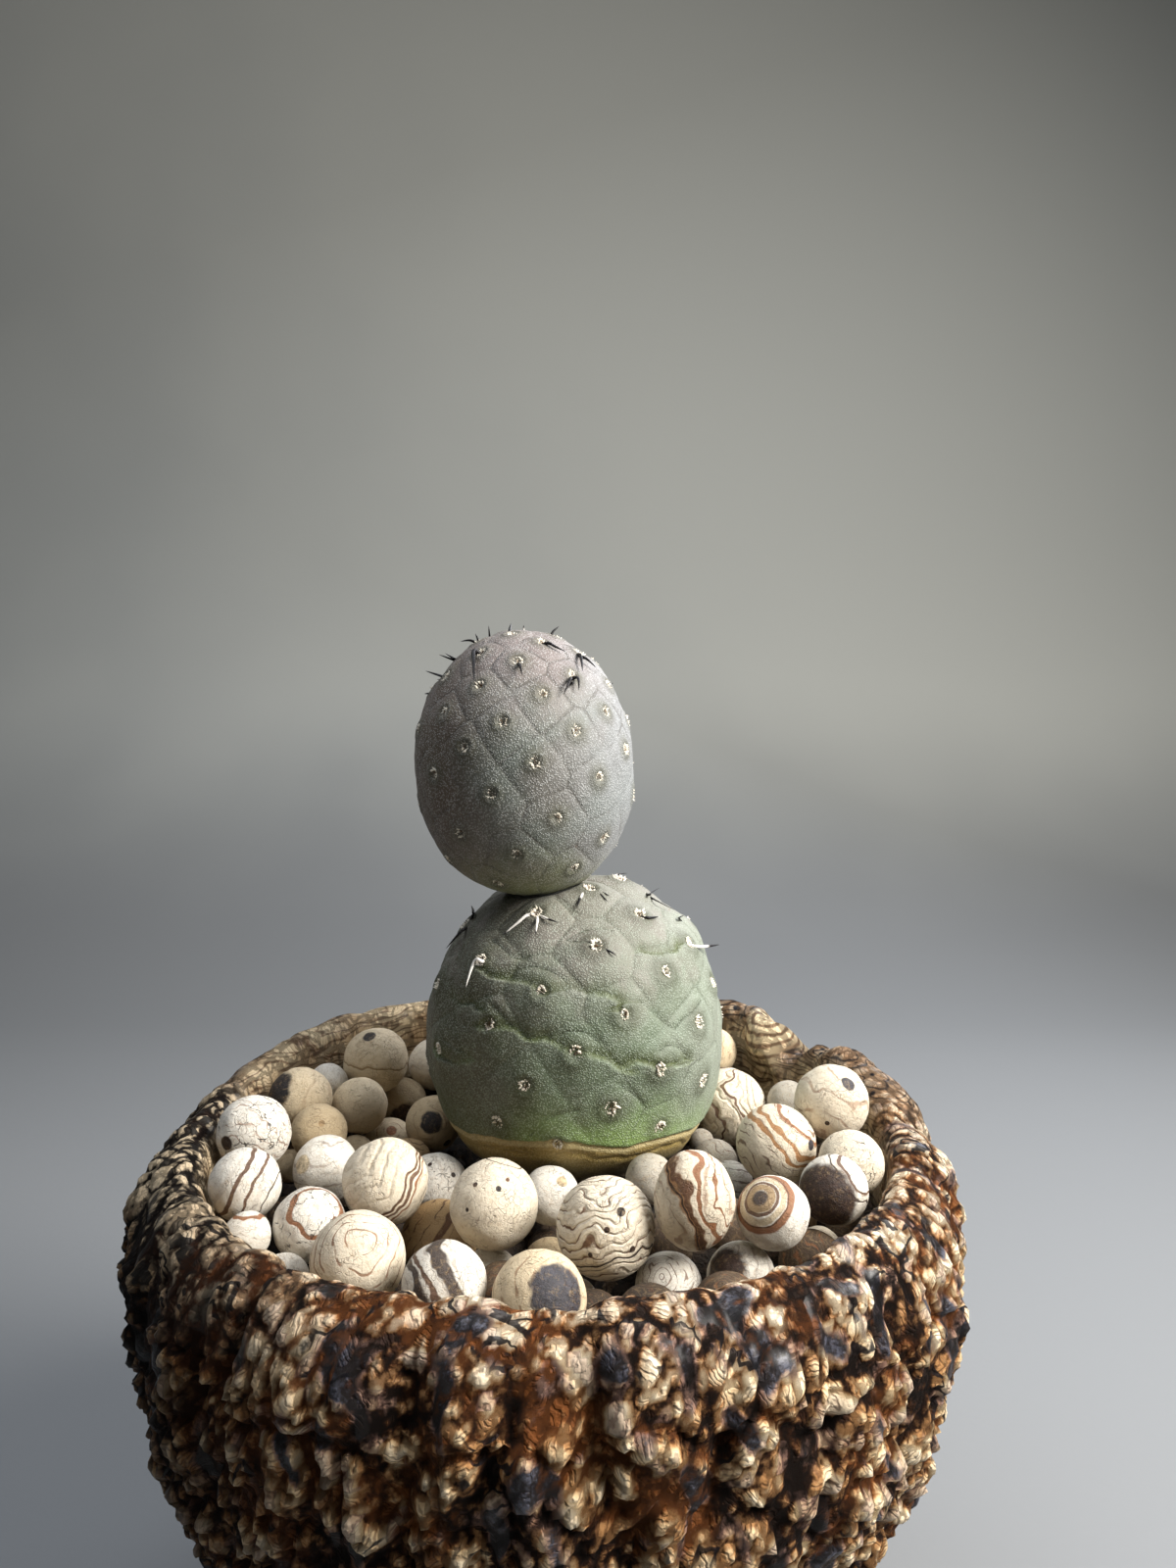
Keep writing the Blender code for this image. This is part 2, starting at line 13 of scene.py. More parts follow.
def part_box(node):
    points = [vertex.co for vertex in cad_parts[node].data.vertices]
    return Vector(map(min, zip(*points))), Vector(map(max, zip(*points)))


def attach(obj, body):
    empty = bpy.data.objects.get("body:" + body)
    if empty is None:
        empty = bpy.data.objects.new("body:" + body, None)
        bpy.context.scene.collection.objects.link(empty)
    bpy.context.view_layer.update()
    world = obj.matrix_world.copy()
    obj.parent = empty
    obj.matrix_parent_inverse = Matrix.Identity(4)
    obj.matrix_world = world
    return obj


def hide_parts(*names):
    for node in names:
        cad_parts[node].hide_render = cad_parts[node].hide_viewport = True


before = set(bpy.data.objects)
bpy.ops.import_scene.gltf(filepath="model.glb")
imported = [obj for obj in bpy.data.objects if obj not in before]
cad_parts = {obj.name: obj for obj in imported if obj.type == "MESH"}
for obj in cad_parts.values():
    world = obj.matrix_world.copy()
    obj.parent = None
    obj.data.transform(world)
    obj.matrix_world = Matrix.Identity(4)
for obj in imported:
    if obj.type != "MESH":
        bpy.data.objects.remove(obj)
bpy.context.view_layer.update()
mm = 0.001

photo = {"width": 1200, "height": 1600}
view = {"lens": 26.69, "film": 36, "place": (5.6, -163, 149.4), "tilt": 5.54}   # tilt is how far it looks down


# Shader writing: a wire is a socket that adds, multiplies and compares like a number

class Wire:
    def __init__(self, paint, socket):
        self.paint = paint
        self.socket = socket

    def __add__(self, other):
        return self.paint.math("ADD", self, other)

    __radd__ = __add__

    def __sub__(self, other):
        return self.paint.math("SUBTRACT", self, other)

    def __rsub__(self, other):
        return self.paint.math("SUBTRACT", other, self)

    def __mul__(self, other):
        return self.paint.math("MULTIPLY", self, other)

    __rmul__ = __mul__

    def __truediv__(self, other):
        return self.paint.math("DIVIDE", self, other)

    def __pow__(self, other):
        return self.paint.math("POWER", self, other)

    def __neg__(self):
        return self.paint.math("MULTIPLY", self, -1)

    def __abs__(self):
        return self.paint.math("ABSOLUTE", self)


class Paint:
    def __init__(self, name, **constants):
        self.material = bpy.data.materials.new(name)
        self.material.use_nodes = True
        self.tree = self.material.node_tree
        self.shader = self.tree.nodes["Principled BSDF"]
        for label, value in constants.items():
            self.join(self.shader.inputs[label.replace("_", " ")], value)

    def join(self, socket, value):
        if isinstance(value, Wire):
            self.tree.links.new(value.socket, socket)
        elif socket.type == "RGBA":
            socket.default_value = (*value[:3], 1)
        else:
            socket.default_value = value

    def node(self, kind, settings=None, values=None, out=0):
        made = self.tree.nodes.new("ShaderNode" + kind)
        for key, value in (settings or {}).items():
            if key == "stops":
                ramp = made.color_ramp
                while len(ramp.elements) < len(value):
                    ramp.elements.new(0.5)
                for element, (position, colour) in zip(ramp.elements, value):
                    element.position = position
                    element.color = (*colour, 1)
            else:
                setattr(made, key, value)
        for key, value in (values or {}).items():
            self.join(made.inputs[key], value)
        return Wire(self, made.outputs[out])

    def math(self, operation, *values):
        return self.node("Math", {"operation": operation}, dict(enumerate(values)))

    def vector(self, operation, *values, out=0):
        return self.node("VectorMath", {"operation": operation}, dict(enumerate(values)), out)

    def scaled(self, wire, by):
        return self.node("VectorMath", {"operation": "SCALE"}, {0: wire, "Scale": by})

    def place(self):        # the point on the piece, in millimetres
        return self.scaled(self.node("TexCoord", out=3), 1 / mm)

    def stored(self, name):
        return self.node("Attribute", {"attribute_name": name}, out=2)

    def rise(self, value, low, high):        # smooth step from 0 at low to 1 at high
        return self.node("MapRange", {"interpolation_type": "SMOOTHSTEP"},
                         {"Value": value, "From Min": low, "From Max": high})

    def noise(self, at, scale, detail=2, rough=0.5, twist=0, colour=False):
        return self.node("TexNoise", None, {"Vector": at, "Scale": scale, "Detail": detail, "Roughness": rough,
                                            "Distortion": twist}, out=1 if colour else 0)

    def cells(self, at, scale, feature="F1", out=0, loose=1):
        return self.node("TexVoronoi", {"feature": feature},
                         {"Vector": at, "Scale": scale, "Randomness": loose}, out)

    def mix(self, share, first, second, mode="MIX"):
        return self.node("Mix", {"data_type": "RGBA", "blend_type": mode}, {0: share, 6: first, 7: second}, out=2)

    def warped(self, at, scale, reach):        # the point moved by a soft noise
        shift = self.vector("SUBTRACT", self.noise(at, scale, colour=True), (0.5, 0.5, 0.5))
        return self.vector("ADD", at, self.scaled(shift, 2 * reach))

    def finish(self, colour, rough, height=None, depth=0.1, strength=1.0):
        self.join(self.shader.inputs["Base Color"], colour)
        self.join(self.shader.inputs["Roughness"], rough)
        if height is not None:
            bump = self.node("Bump", None, {"Strength": strength, "Distance": depth * mm, "Height": height})
            self.join(self.shader.inputs["Normal"], bump)
        return self.material


def tint(red, green, blue):        # a colour as a picture shows it, made linear
    shares = [value / 255 for value in (red, green, blue)]
    return tuple(s / 12.92 if s <= 0.04045 else ((s + 0.055) / 1.055) ** 2.4 for s in shares)


def smoothStep(low, high, value):
    t = np.clip((value - low) / (high - low), 0, 1)
    return t * t * (3 - 2 * t)


def meshPiece(name, points, faces, material, stored=None, sharp=None):
    mesh = bpy.data.meshes.new(name)
    mesh.from_pydata((np.asarray(points, float) * mm).tolist(), [], faces)
    for label, values in (stored or {}).items():
        layer = mesh.attributes.new(label, "FLOAT", "POINT")
        layer.data.foreach_set("value", np.asarray(values, np.float32))
    mesh.materials.append(material)
    mesh.shade_smooth()
    if sharp:
        mesh.set_sharp_from_angle(angle=math.radians(sharp))
    piece = bpy.data.objects.new(name, mesh)
    bpy.context.scene.collection.objects.link(piece)
    return piece


def gridFaces(rows, columns, start=0):        # quads between rings of points that close round
    faces = []
    for r in range(rows - 1):
        a = start + r * columns
        b = a + columns
        for i in range(columns):
            j = (i + 1) % columns
            faces.append((a + i, a + j, b + j, b + i))
    return faces


# Camera: it also says where a spot of the photograph lies on the object

tilt = math.radians(view["tilt"])
lookAlong = np.array((0, math.cos(tilt), -math.sin(tilt)))
lookUp = np.array((0, math.sin(tilt), math.cos(tilt)))
lookRight = np.array((1.0, 0, 0))
eye = np.array(view["place"], float)
focal = view["lens"] / view["film"] * photo["height"]


def rayThrough(pixel):
    right = (pixel[0] - photo["width"] / 2) / focal
    up = -(pixel[1] - photo["height"] / 2) / focal
    return lookAlong + right * lookRight + up * lookUp


def placeCamera():
    data = bpy.data.cameras.new("camera")
    data.lens = view["lens"]
    data.sensor_width = view["film"]
    data.clip_start = 0.01
    camera = bpy.data.objects.new("camera", data)
    camera.location = eye * mm
    camera.rotation_euler = (math.radians(90 - view["tilt"]), 0, 0)
    bpy.context.scene.collection.objects.link(camera)
    bpy.context.scene.camera = camera


# Studio: a pale sweep that curves up behind, a broad softbox from the right and cooler light from above

studio = {"floor": (132, 135, 138), "wall": (200, 202, 197), "shade": (170, 174, 174), "reach": 620, "bend": 300,
          "wide": 1700, "top": 1500, "near": -1100, "air": 0.12, "airColour": (216, 216, 214),
          "softbox": {"at": (330, -120, 360), "size": 215, "power": 4.8, "colour": (255, 250, 243)},
          "skylight": {"at": (-120, 20, 490), "size": 380, "power": 1.1, "colour": (236, 241, 248)},
          "back": {"at": (190, 280, 330), "size": 240, "power": 1.0, "colour": (246, 248, 255)}}


def sweepLine():        # the floor's run, the quarter turn and the wall, as (y, z)
    turn = [math.pi / 2 * i / 24 for i in range(25)]
    middle = studio["reach"] - studio["bend"]
    bow = [(middle + studio["bend"] * math.sin(t), studio["bend"] * (1 - math.cos(t))) for t in turn]
    return [(studio["near"], 0), *bow, (studio["reach"], studio["top"])]


def buildStudio():
    paint = Paint("sweep_paper", Specular_IOR_Level=0.15)
    at = paint.place()
    height = paint.node("SeparateXYZ", None, {0: at}, out=2)
    across = paint.node("SeparateXYZ", None, {0: at}, out=0)
    cloud = paint.noise(at, 0.004, 3)
    wall = paint.mix(paint.rise(across + height * 0.4 + 500 * (cloud - 0.5), 200, -420), tint(*studio["wall"]),
                     tint(*studio["shade"]))
    colour = paint.mix(paint.rise(height + 60 * (cloud - 0.5), 2, 150), tint(*studio["floor"]), wall)
    paint.finish(colour, 0.8, paint.noise(at, 0.5, 3), 0.2, 0.2)
    half = studio["wide"] / 2
    line = sweepLine()
    points = [(side, y, z - 0.4) for y, z in line for side in (-half, half)]
    faces = [(2 * i, 2 * i + 1, 2 * i + 3, 2 * i + 2) for i in range(len(line) - 1)]
    meshPiece("sweep", points, faces, paint.material)
    for name in ("softbox", "skylight", "back"):
        look = studio[name]
        lamp = bpy.data.lights.new(name, "AREA")
        lamp.size = look["size"] * mm
        lamp.energy = look["power"]
        lamp.color = tint(*look["colour"])
        light = bpy.data.objects.new(name, lamp)
        light.location = Vector(look["at"]) * mm
        aim = Vector((0, 0, 90)) - Vector(look["at"])
        light.rotation_euler = aim.to_track_quat("-Z", "Y").to_euler()
        bpy.context.scene.collection.objects.link(light)
    world = bpy.data.worlds.new("air")
    world.use_nodes = True
    air = world.node_tree.nodes["Background"]
    air.inputs["Color"].default_value = (*tint(*studio["airColour"]), 1)
    air.inputs["Strength"].default_value = studio["air"]
    bpy.context.scene.world = world
    bpy.context.scene.view_settings.view_transform = "Standard"


# Pot: a turned wall with the torn skin raised on it

pot = {"outside": ((30.5, 0), (32.5, 1.2), (36, 8), (40.6, 18), (46.6, 30), (52, 43), (55.3, 54), (57.3, 65),
                   (57.7, 74)),
       "lip": ((55.4, 80.6), (51.4, 83.9), (48.6, 83.3), (47.4, 80.4)),
       "inside": ((46.9, 74), (45.8, 58), (42.8, 40), (35.5, 22), (22, 12.3)),
       "plate": 22, "drainRing": 17, "drainHole": 4, "drains": 3,
       "columns": 560, "step": 0.69, "hiddenBelow": 66, "lipLevel": 84,
       "lift": ((-180, 1), (-150, 0.3), (-90, 0), (-30, 0), (0, 1), (10, 3), (22, 4.6), (29, 3.6), (34.5, 0.8),
                (39, 6.2), (45, 6.6), (60, 6), (90, 5.4), (120, 5.6), (148, 5), (160, 3), (170, 1.6), (180, 1)),
       "knobAt": 40.5, "knobReach": 3.4, "knobMiddle": (36, 31, 92), "furrow": 1.6, "lump": 1.9, "frontLift": 1.0,
       "clump": 6.4, "kernel": 2.15, "crumb": 1.4, "clumpHeight": 0.75, "kernelHeight": 1.05, "crumbHeight": 0.2,
       "channelDepth": 0.6, "middle": 0.95}


def rounded(stations, step):        # points of a smooth curve through the stations, about a step apart
    ends = [stations[0], *stations, stations[-1]]
    curve = [stations[0]]
    for before, start, end, after in zip(ends, ends[1:], ends[2:], ends[3:]):
        steps = max(round(math.dist(start, end) / step), 1)
        for i in range(1, steps + 1):
            t = i / steps
            curve.append(tuple(
                0.5 * (2 * b + (c - a) * t + (2 * a - 5 * b + 4 * c - d) * t ** 2 + (3 * b - a - 3 * c + d) * t ** 3)
                for a, b, c, d in zip(before, start, end, after)))
    return curve


def lipLift(degrees):
    for (x0, y0), (x1, y1) in zip(pot["lift"], pot["lift"][1:]):
        if degrees <= x1:
            return y0 + (y1 - y0) * float(smoothStep(x0, x1, degrees))
    return pot["lift"][-1][1]


def knob(degrees):
    return math.exp(-((degrees - pot["knobAt"]) / 4.6) ** 2)


def plateau(near, low, high):        # how far inside its Voronoi cell a spot is, 0 at the border
    return float(smoothStep(low, high, near[1] - near[0]))


def tornSkin(point, across, height, rough):        # relief of the torn clay in mm, and what colours it
    furrow = noise.noise(across * 3.4 + Vector((0, 0, height * 0.014 + 3.1)))
    lump = noise.noise(across * 6.4 + Vector((5.2, 0, height * 0.11)))
    coarse = pot["lump"] * lump - pot["furrow"] * math.exp(-(furrow / 0.09) ** 2) + 0.25
    tall = Vector((point.x, point.y, point.z * 0.8))
    bent = tall + 1.2 * noise.noise_vector(tall * 0.26)
    clump = plateau(noise.voronoi((tall + 2.6 * noise.noise_vector(tall * 0.12)) / pot["clump"])[0], 0.0, 0.26)
    near, middles = noise.voronoi(bent / pot["kernel"])
    lot = 0.5 + 0.5 * noise.cell(middles[0] * 9.3)
    kernel = max(1 - 1.25 * near[0] ** 2, 0) * (0.22 + 0.78 * plateau(near, 0.0, 0.28)) * (0.75 + 0.45 * lot)
    crumb = plateau(noise.voronoi(bent / pot["crumb"] + Vector((3, 1, 2)))[0], 0.0, 0.45)
    channel = math.exp(-(noise.noise(tall * 0.1 + Vector((9, 4, 2))) / 0.05) ** 2)
    torn = tall + 2.4 * noise.noise_vector(tall * 0.22 + Vector((4, 0, 0)))
    slate = noise.noise(Vector((torn.x, torn.y, torn.z * 0.6)) * 0.27)
    smooth = float(smoothStep(0.28, 0.38, slate))
    grown = (1 - 0.75 * smooth) * (0.3 + 0.7 * clump)
    raised = pot["clumpHeight"] * clump + (pot["kernelHeight"] * kernel + pot["crumbHeight"] * crumb) * grown
    raised += 0.35 * smooth - pot["channelDepth"] * channel
    shift = coarse + rough * (raised - pot["middle"])
    # deep falls towards the hollows; potClay paints shade there from it
    deep = (0.12 + 0.88 * clump) * (0.16 + 0.84 * kernel) * (0.8 + 0.2 * crumb) * (1 - 0.3 * channel)
    return shift, deep, slate, channel, lot


def buildPot():
    outline = [(r, z, 1.0) for r, z in rounded(pot["outside"], pot["step"])]
    outline = [(pot["plate"], 0, 1.0), (26, 0, 1.0)] + outline
    rim = rounded((pot["outside"][-1], *pot["lip"], pot["inside"][0]), pot["step"])[1:]
    outline += [(r, z, 1 - 0.8 * i / (len(rim) - 1)) for i, (r, z) in enumerate(rim)]
    inside = rounded(pot["inside"], pot["step"])[1:]
    shown = [(r, z, 0.2) for r, z in inside if z > pot["hiddenBelow"]]
    outline += shown + [(r, z, 0.0) for r, z in pot["inside"][1:]]
    outline = np.array(outline)
    rows, columns = len(outline), pot["columns"]
    along = np.gradient(outline[:, :2], axis=0)
    along /= np.linalg.norm(along, axis=1)[:, None]
    outward = np.stack([along[:, 1], -along[:, 0]], 1)
    crestRow = int(np.argmax(outline[:, 1]))
    stored = {name: [] for name in ("deep", "slate", "channel", "lot", "lip", "inner", "knob", "left")}
    points = []
    turns = [2 * math.pi * i / columns for i in range(columns)]
    degrees = [math.degrees(math.atan2(math.sin(t), math.cos(t))) for t in turns]
    lifts = [lipLift(d) + pot["frontLift"] * math.exp(-((d + 88) / 55) ** 2) for d in degrees]
    knobs = [knob(d) for d in degrees]
    smoothBack = [float(smoothStep(70, 95, d) * (1 - smoothStep(160, 174, d))) for d in degrees]
    smoothLips = [max(b, 0.7 * float(smoothStep(-8, 12, d) * (1 - smoothStep(70, 95, d))))
                  for b, d in zip(smoothBack, degrees)]
    # how far round to the left: potClay paints shade there and marks the clay differently
    lefts = [float(smoothStep(100, 150, abs(d + 10))) * (1 - b) for b, d in zip(smoothBack, degrees)]
    for row, (radius, height, skin) in enumerate(outline):
        wall = float(smoothStep(2, 12, height))
        raise_ = float(smoothStep(56, pot["lipLevel"], height))
        lip = float(smoothStep(73, 80, height))
        lean = float(smoothStep(76, 80, height)) * (skin < 1)
        for turn, lift, bulge, back, even, left in zip(turns, lifts, knobs, smoothBack, smoothLips, lefts):
            inner = float(smoothStep(crestRow + 3 - 7 * back, crestRow + 10 - 8 * back, row))
            rough = wall * (1 - lip * (0.4 + 0.4 * even)) * (1 - 0.92 * inner) * (1 - 0.8 * bulge * lip)
            across = Vector((math.cos(turn), math.sin(turn), 0))
            spot = across * radius + Vector((0, 0, height + lift * raise_))
            shift, *skinValues = tornSkin(spot, across, height, rough)
            coarse = shift * wall * (skin if inner == 0 else skin * (1 - inner))
            reach = radius + outward[row, 0] * coarse - pot["knobReach"] * bulge * lean
            points.append((reach * across.x, reach * across.y, spot.z + outward[row, 1] * coarse * 0.8))
            values = (*skinValues, lip * (0.4 + 0.6 * even), inner, bulge * lip, left)
            for name, value in zip(stored, values):
                stored[name].append(value)
    faces = gridFaces(rows, columns)
    ringCount = len(points)
    plate = bmesh.new()
    for z, base in ((0, 0), (pot["inside"][-1][1], ringCount - columns)):
        outer = [plate.verts.new(points[base + i]) for i in range(columns)]
        loops = [outer]
        for hole in range(pot["drains"]):
            turn = 2 * math.pi * (hole + 0.5) / pot["drains"]
            cx, cy = pot["drainRing"] * math.cos(turn), pot["drainRing"] * math.sin(turn)
            loops.append([plate.verts.new((cx + pot["drainHole"] * math.cos(math.pi * i / 12),
                                           cy + pot["drainHole"] * math.sin(math.pi * i / 12), z))
                          for i in range(24)])
        edges = [plate.edges.new((loop[i], loop[i - 1])) for loop in loops for i in range(len(loop))]
        bmesh.ops.triangle_fill(plate, use_beauty=True, use_dissolve=False, edges=edges,
                                normal=(0, 0, -1 if z == 0 else 1))
    plate.verts.index_update()
    half = columns + 24 * pot["drains"]
    spots = [tuple(v.co) for v in plate.verts]
    number = {}
    for i, spot in enumerate(spots):
        ring = i % half
        if ring < columns:
            number[i] = ring + (0 if i < half else ringCount - columns)
        else:
            number[i] = len(points)
            points.append(spot)
            for values in stored.values():
                values.append(0.5)
    for face in plate.faces:
        faces.append(tuple(number[v.index] for v in face.verts))
    for hole in range(pot["drains"]):
        low = columns + 24 * hole
        for i in range(24):
            j = (i + 1) % 24
            faces.append((number[low + j], number[low + i], number[half + low + i], number[half + low + j]))
    plate.free()
    piece = meshPiece("pot_skin", points, faces, potClay(), stored)
    tidy = bmesh.new()
    tidy.from_mesh(piece.data)
    bmesh.ops.recalc_face_normals(tidy, faces=tidy.faces)
    tidy.to_mesh(piece.data)
    tidy.free()
    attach(piece, "root")
    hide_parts("pot")
    print("pot", len(piece.data.polygons), "faces")


potTones = {"cream": (216, 188, 146), "pale": (242, 224, 192), "tan": (158, 116, 74), "line": (84, 52, 32),
            "umber": (82, 48, 24), "nearBlack": (24, 14, 8), "rust": (126, 73, 33), "deepRust": (58, 32, 15),
            "mauve": (128, 102, 94), "slate": (70, 74, 88), "ink": (20, 19, 24), "inside": (166, 142, 110),
            "insidePale": (206, 186, 152), "lipBrown": (132, 108, 84),
            "chalk": (222, 210, 192)}


def potClay():
    paint = Paint("pot_clay", Specular_IOR_Level=0.12, Coat_Roughness=0.34)
    tone = {name: tint(*colour) for name, colour in potTones.items()}
    at = paint.place()
    deep, slate, channel, lot = (paint.stored(name) for name in ("deep", "slate", "channel", "lot"))
    lip, inner, bulb, left = (paint.stored(name) for name in ("lip", "inner", "knob", "left"))
    tall = paint.vector("MULTIPLY", at, (1, 1, 0.85))
    height = paint.node("SeparateXYZ", None, {0: at}, out=2)
    grit = paint.noise(at, 2.2, 4, 0.65)
    grains = 1 - paint.rise(paint.cells(paint.warped(tall, 0.7, 0.5), 0.8), 0.12, 0.8)
    # level is low in the hollows and high on the kernel tops, and is lowered on the left as painted shade
    level = deep * 0.95 + grains * 0.22 + 0.3 * (grit - 0.5) + 0.06 * lip - 0.1 * left
    swirl = paint.warped(paint.warped(tall, 0.09, 7), 0.3, 1.8)
    layers = paint.noise(swirl, 0.07, 1) * 11
    strand = paint.math("PINGPONG", layers + 0.6 * lot, 0.5)
    spin = paint.node("CombineXYZ", None, {0: paint.math("SINE", lot * 61), 1: paint.math("COSINE", lot * 61),
                                           2: paint.math("SINE", lot * 37)})
    combed = paint.vector("DOT_PRODUCT", paint.warped(at, 0.7, 0.7), spin, out=1)
    fine = paint.math("PINGPONG", combed * 1.35 + 0.5 * layers, 0.5)
    folds = paint.noise(at, 0.11, 2)
    rusty = paint.rise(paint.noise(at, 0.07, 2) + 0.35 * (paint.noise(at, 0.6, 3) - 0.5), 0.45, 0.59) * (1 - 0.8 * left)
    low = paint.mix(rusty, tone["deepRust"], paint.mix(paint.noise(at, 0.9, 3), tone["umber"], tone["rust"]))
    # colour by level, from the brown matrix in the hollows to pale kernel tops: the clay's own tones, with painted
    # shade deepening into the hollows
    clay = paint.mix(paint.rise(level, 0.22, 0.42), low, tone["tan"])
    clay = paint.mix(paint.rise(level + 0.3 * (lot - 0.5), 0.36, 0.64), clay, tone["cream"])
    clay = paint.mix(paint.rise(level + 0.4 * (lot - 0.5), 0.6, 0.95), clay, tone["pale"])
    clay = paint.mix(paint.rise(height, 74, 88) * paint.rise(level, 0.3, 0.6) * 0.5, clay, tone["chalk"])
    lined = 1 - paint.rise(fine, 0.05, 0.3)
    clay = paint.mix(lined * paint.rise(paint.noise(at, 0.4, 1), 0.25, 0.5) * 0.56, clay, tone["line"])
    blue = slate + 0.14 * (grit - 0.5)
    clay = paint.mix(paint.math("MAXIMUM", paint.rise(blue, 0.15, 0.29), paint.rise(lot, 0.8, 0.86) * 0.7) * 0.8, clay,
                     tone["mauve"])
    patch = paint.rise(blue, 0.27, 0.36)
    stone = paint.mix(paint.rise(grit + 0.4 * (deep - 0.5), 0.4, 0.7), tone["ink"], tone["slate"])
    clay = paint.mix(patch * 0.95, clay, stone)
    banded = (1 - paint.rise(strand, 0.08 + 0.1 * left, 0.14 + 0.12 * left))
    banded = banded * paint.math("MAXIMUM", paint.rise(folds + 0.1 * lip, 0.52, 0.6), left)
    gully = paint.rise(channel + 0.5 * (paint.noise(at, 0.8, 3) - 0.5), 0.35, 0.8) * (1 - left)
    clay = paint.mix(gully * 0.7, clay, low)
    rim = left * paint.rise(height, 74, 82)
    clay = paint.mix(rim * 0.8, clay, tone["pale"])
    clay = paint.mix(banded * 0.95, clay, tone["ink"])
    # painted shade: the deepest hollows go near-black or dark rust
    clay = paint.mix(1 - paint.rise(level, 0.1, 0.36), clay, paint.mix(rusty * 0.85, tone["nearBlack"], low))
    # painted shade: the left side of the pot is darkened, more so further left, with the rim's tops spared
    clay = paint.mix(left * (1 - 0.55 * rim), clay, (0.3, 0.27, 0.24), "MULTIPLY")
    leftShade = paint.rise(paint.node("SeparateXYZ", None, {0: at}, out=0) + 14 * (folds - 0.5), -4, -50)
    clay = paint.mix(leftShade * (0.75 - 0.55 * rim), clay, (0.42, 0.36, 0.31), "MULTIPLY")
    flat = paint.vector("MULTIPLY", paint.warped(at, 0.12, 2.0), (0.2, 0.2, 1.8))
    stripe = paint.math("PINGPONG", paint.noise(flat, 0.16, 2) * 13, 0.5)
    striped = 1 - paint.rise(stripe, 0.04, 0.24)
    plainLip = paint.rise(lip, 0.5, 0.8) * (1 - left)
    clay = paint.mix(plainLip * 0.75, clay, tone["lipBrown"])
    pocks = (1 - paint.rise(paint.cells(tall, 0.5), 0.14, 0.3)) * paint.rise(paint.noise(at, 0.3, 2), 0.4, 0.5)
    clay = paint.mix(plainLip * paint.math("MAXIMUM", striped * 0.85, pocks), clay, tone["ink"])
    # the inner wall's tones are set darker: its own tone, with painted shade inside the bowl
    smooth = paint.mix(paint.rise(paint.noise(at, 0.15, 2), 0.35, 0.65), tone["inside"], tone["insidePale"])
    smooth = paint.mix(striped * 0.7, smooth, tone["line"])
    ring = paint.vector("DISTANCE", paint.warped(at, 0.3, 0.8), tuple(pot["knobMiddle"]), out=1) * 0.62
    ringed = 1 - paint.rise(paint.math("PINGPONG", ring, 0.5), 0.08, 0.3)
    colour = paint.mix(inner, clay, smooth)
    colour = paint.mix(paint.rise(bulb, 0.25, 0.6), colour, paint.mix(ringed * 0.8, tone["insidePale"], tone["line"]))
    rough = 0.62 - 0.2 * patch + 0.2 * (1 - paint.rise(level, 0.2, 0.5))
    paint.join(paint.shader.inputs["Coat Weight"], 0.2 * patch + 0.3 * paint.rise(level, 0.45, 0.85))
    plain = (1 - 0.92 * inner) * (1 - 0.45 * lip) * (1 - 0.8 * bulb)
    relief = grains * (1 - 0.7 * patch) * (1 - 0.4 * gully) * plain * 0.3 + 0.12 * grit - 0.1 * lined
    return paint.finish(colour, rough, relief, 1.0)


# Marbled clay balls

clay = {"white": (226, 221, 210), "ivory": (227, 216, 195), "cream": (217, 199, 167), "beige": (190, 170, 136),
        "tan": (172, 144, 104), "grey": (184, 178, 165), "brown": (100, 66, 42), "umber": (54, 36, 28),
        "rust": (150, 94, 52), "amber": (180, 128, 76), "nearBlack": (34, 30, 30), "slate": (58, 56, 62),
        "stainAndShade": (74, 58, 42), "dirtAndShade": (50, 39, 29)}

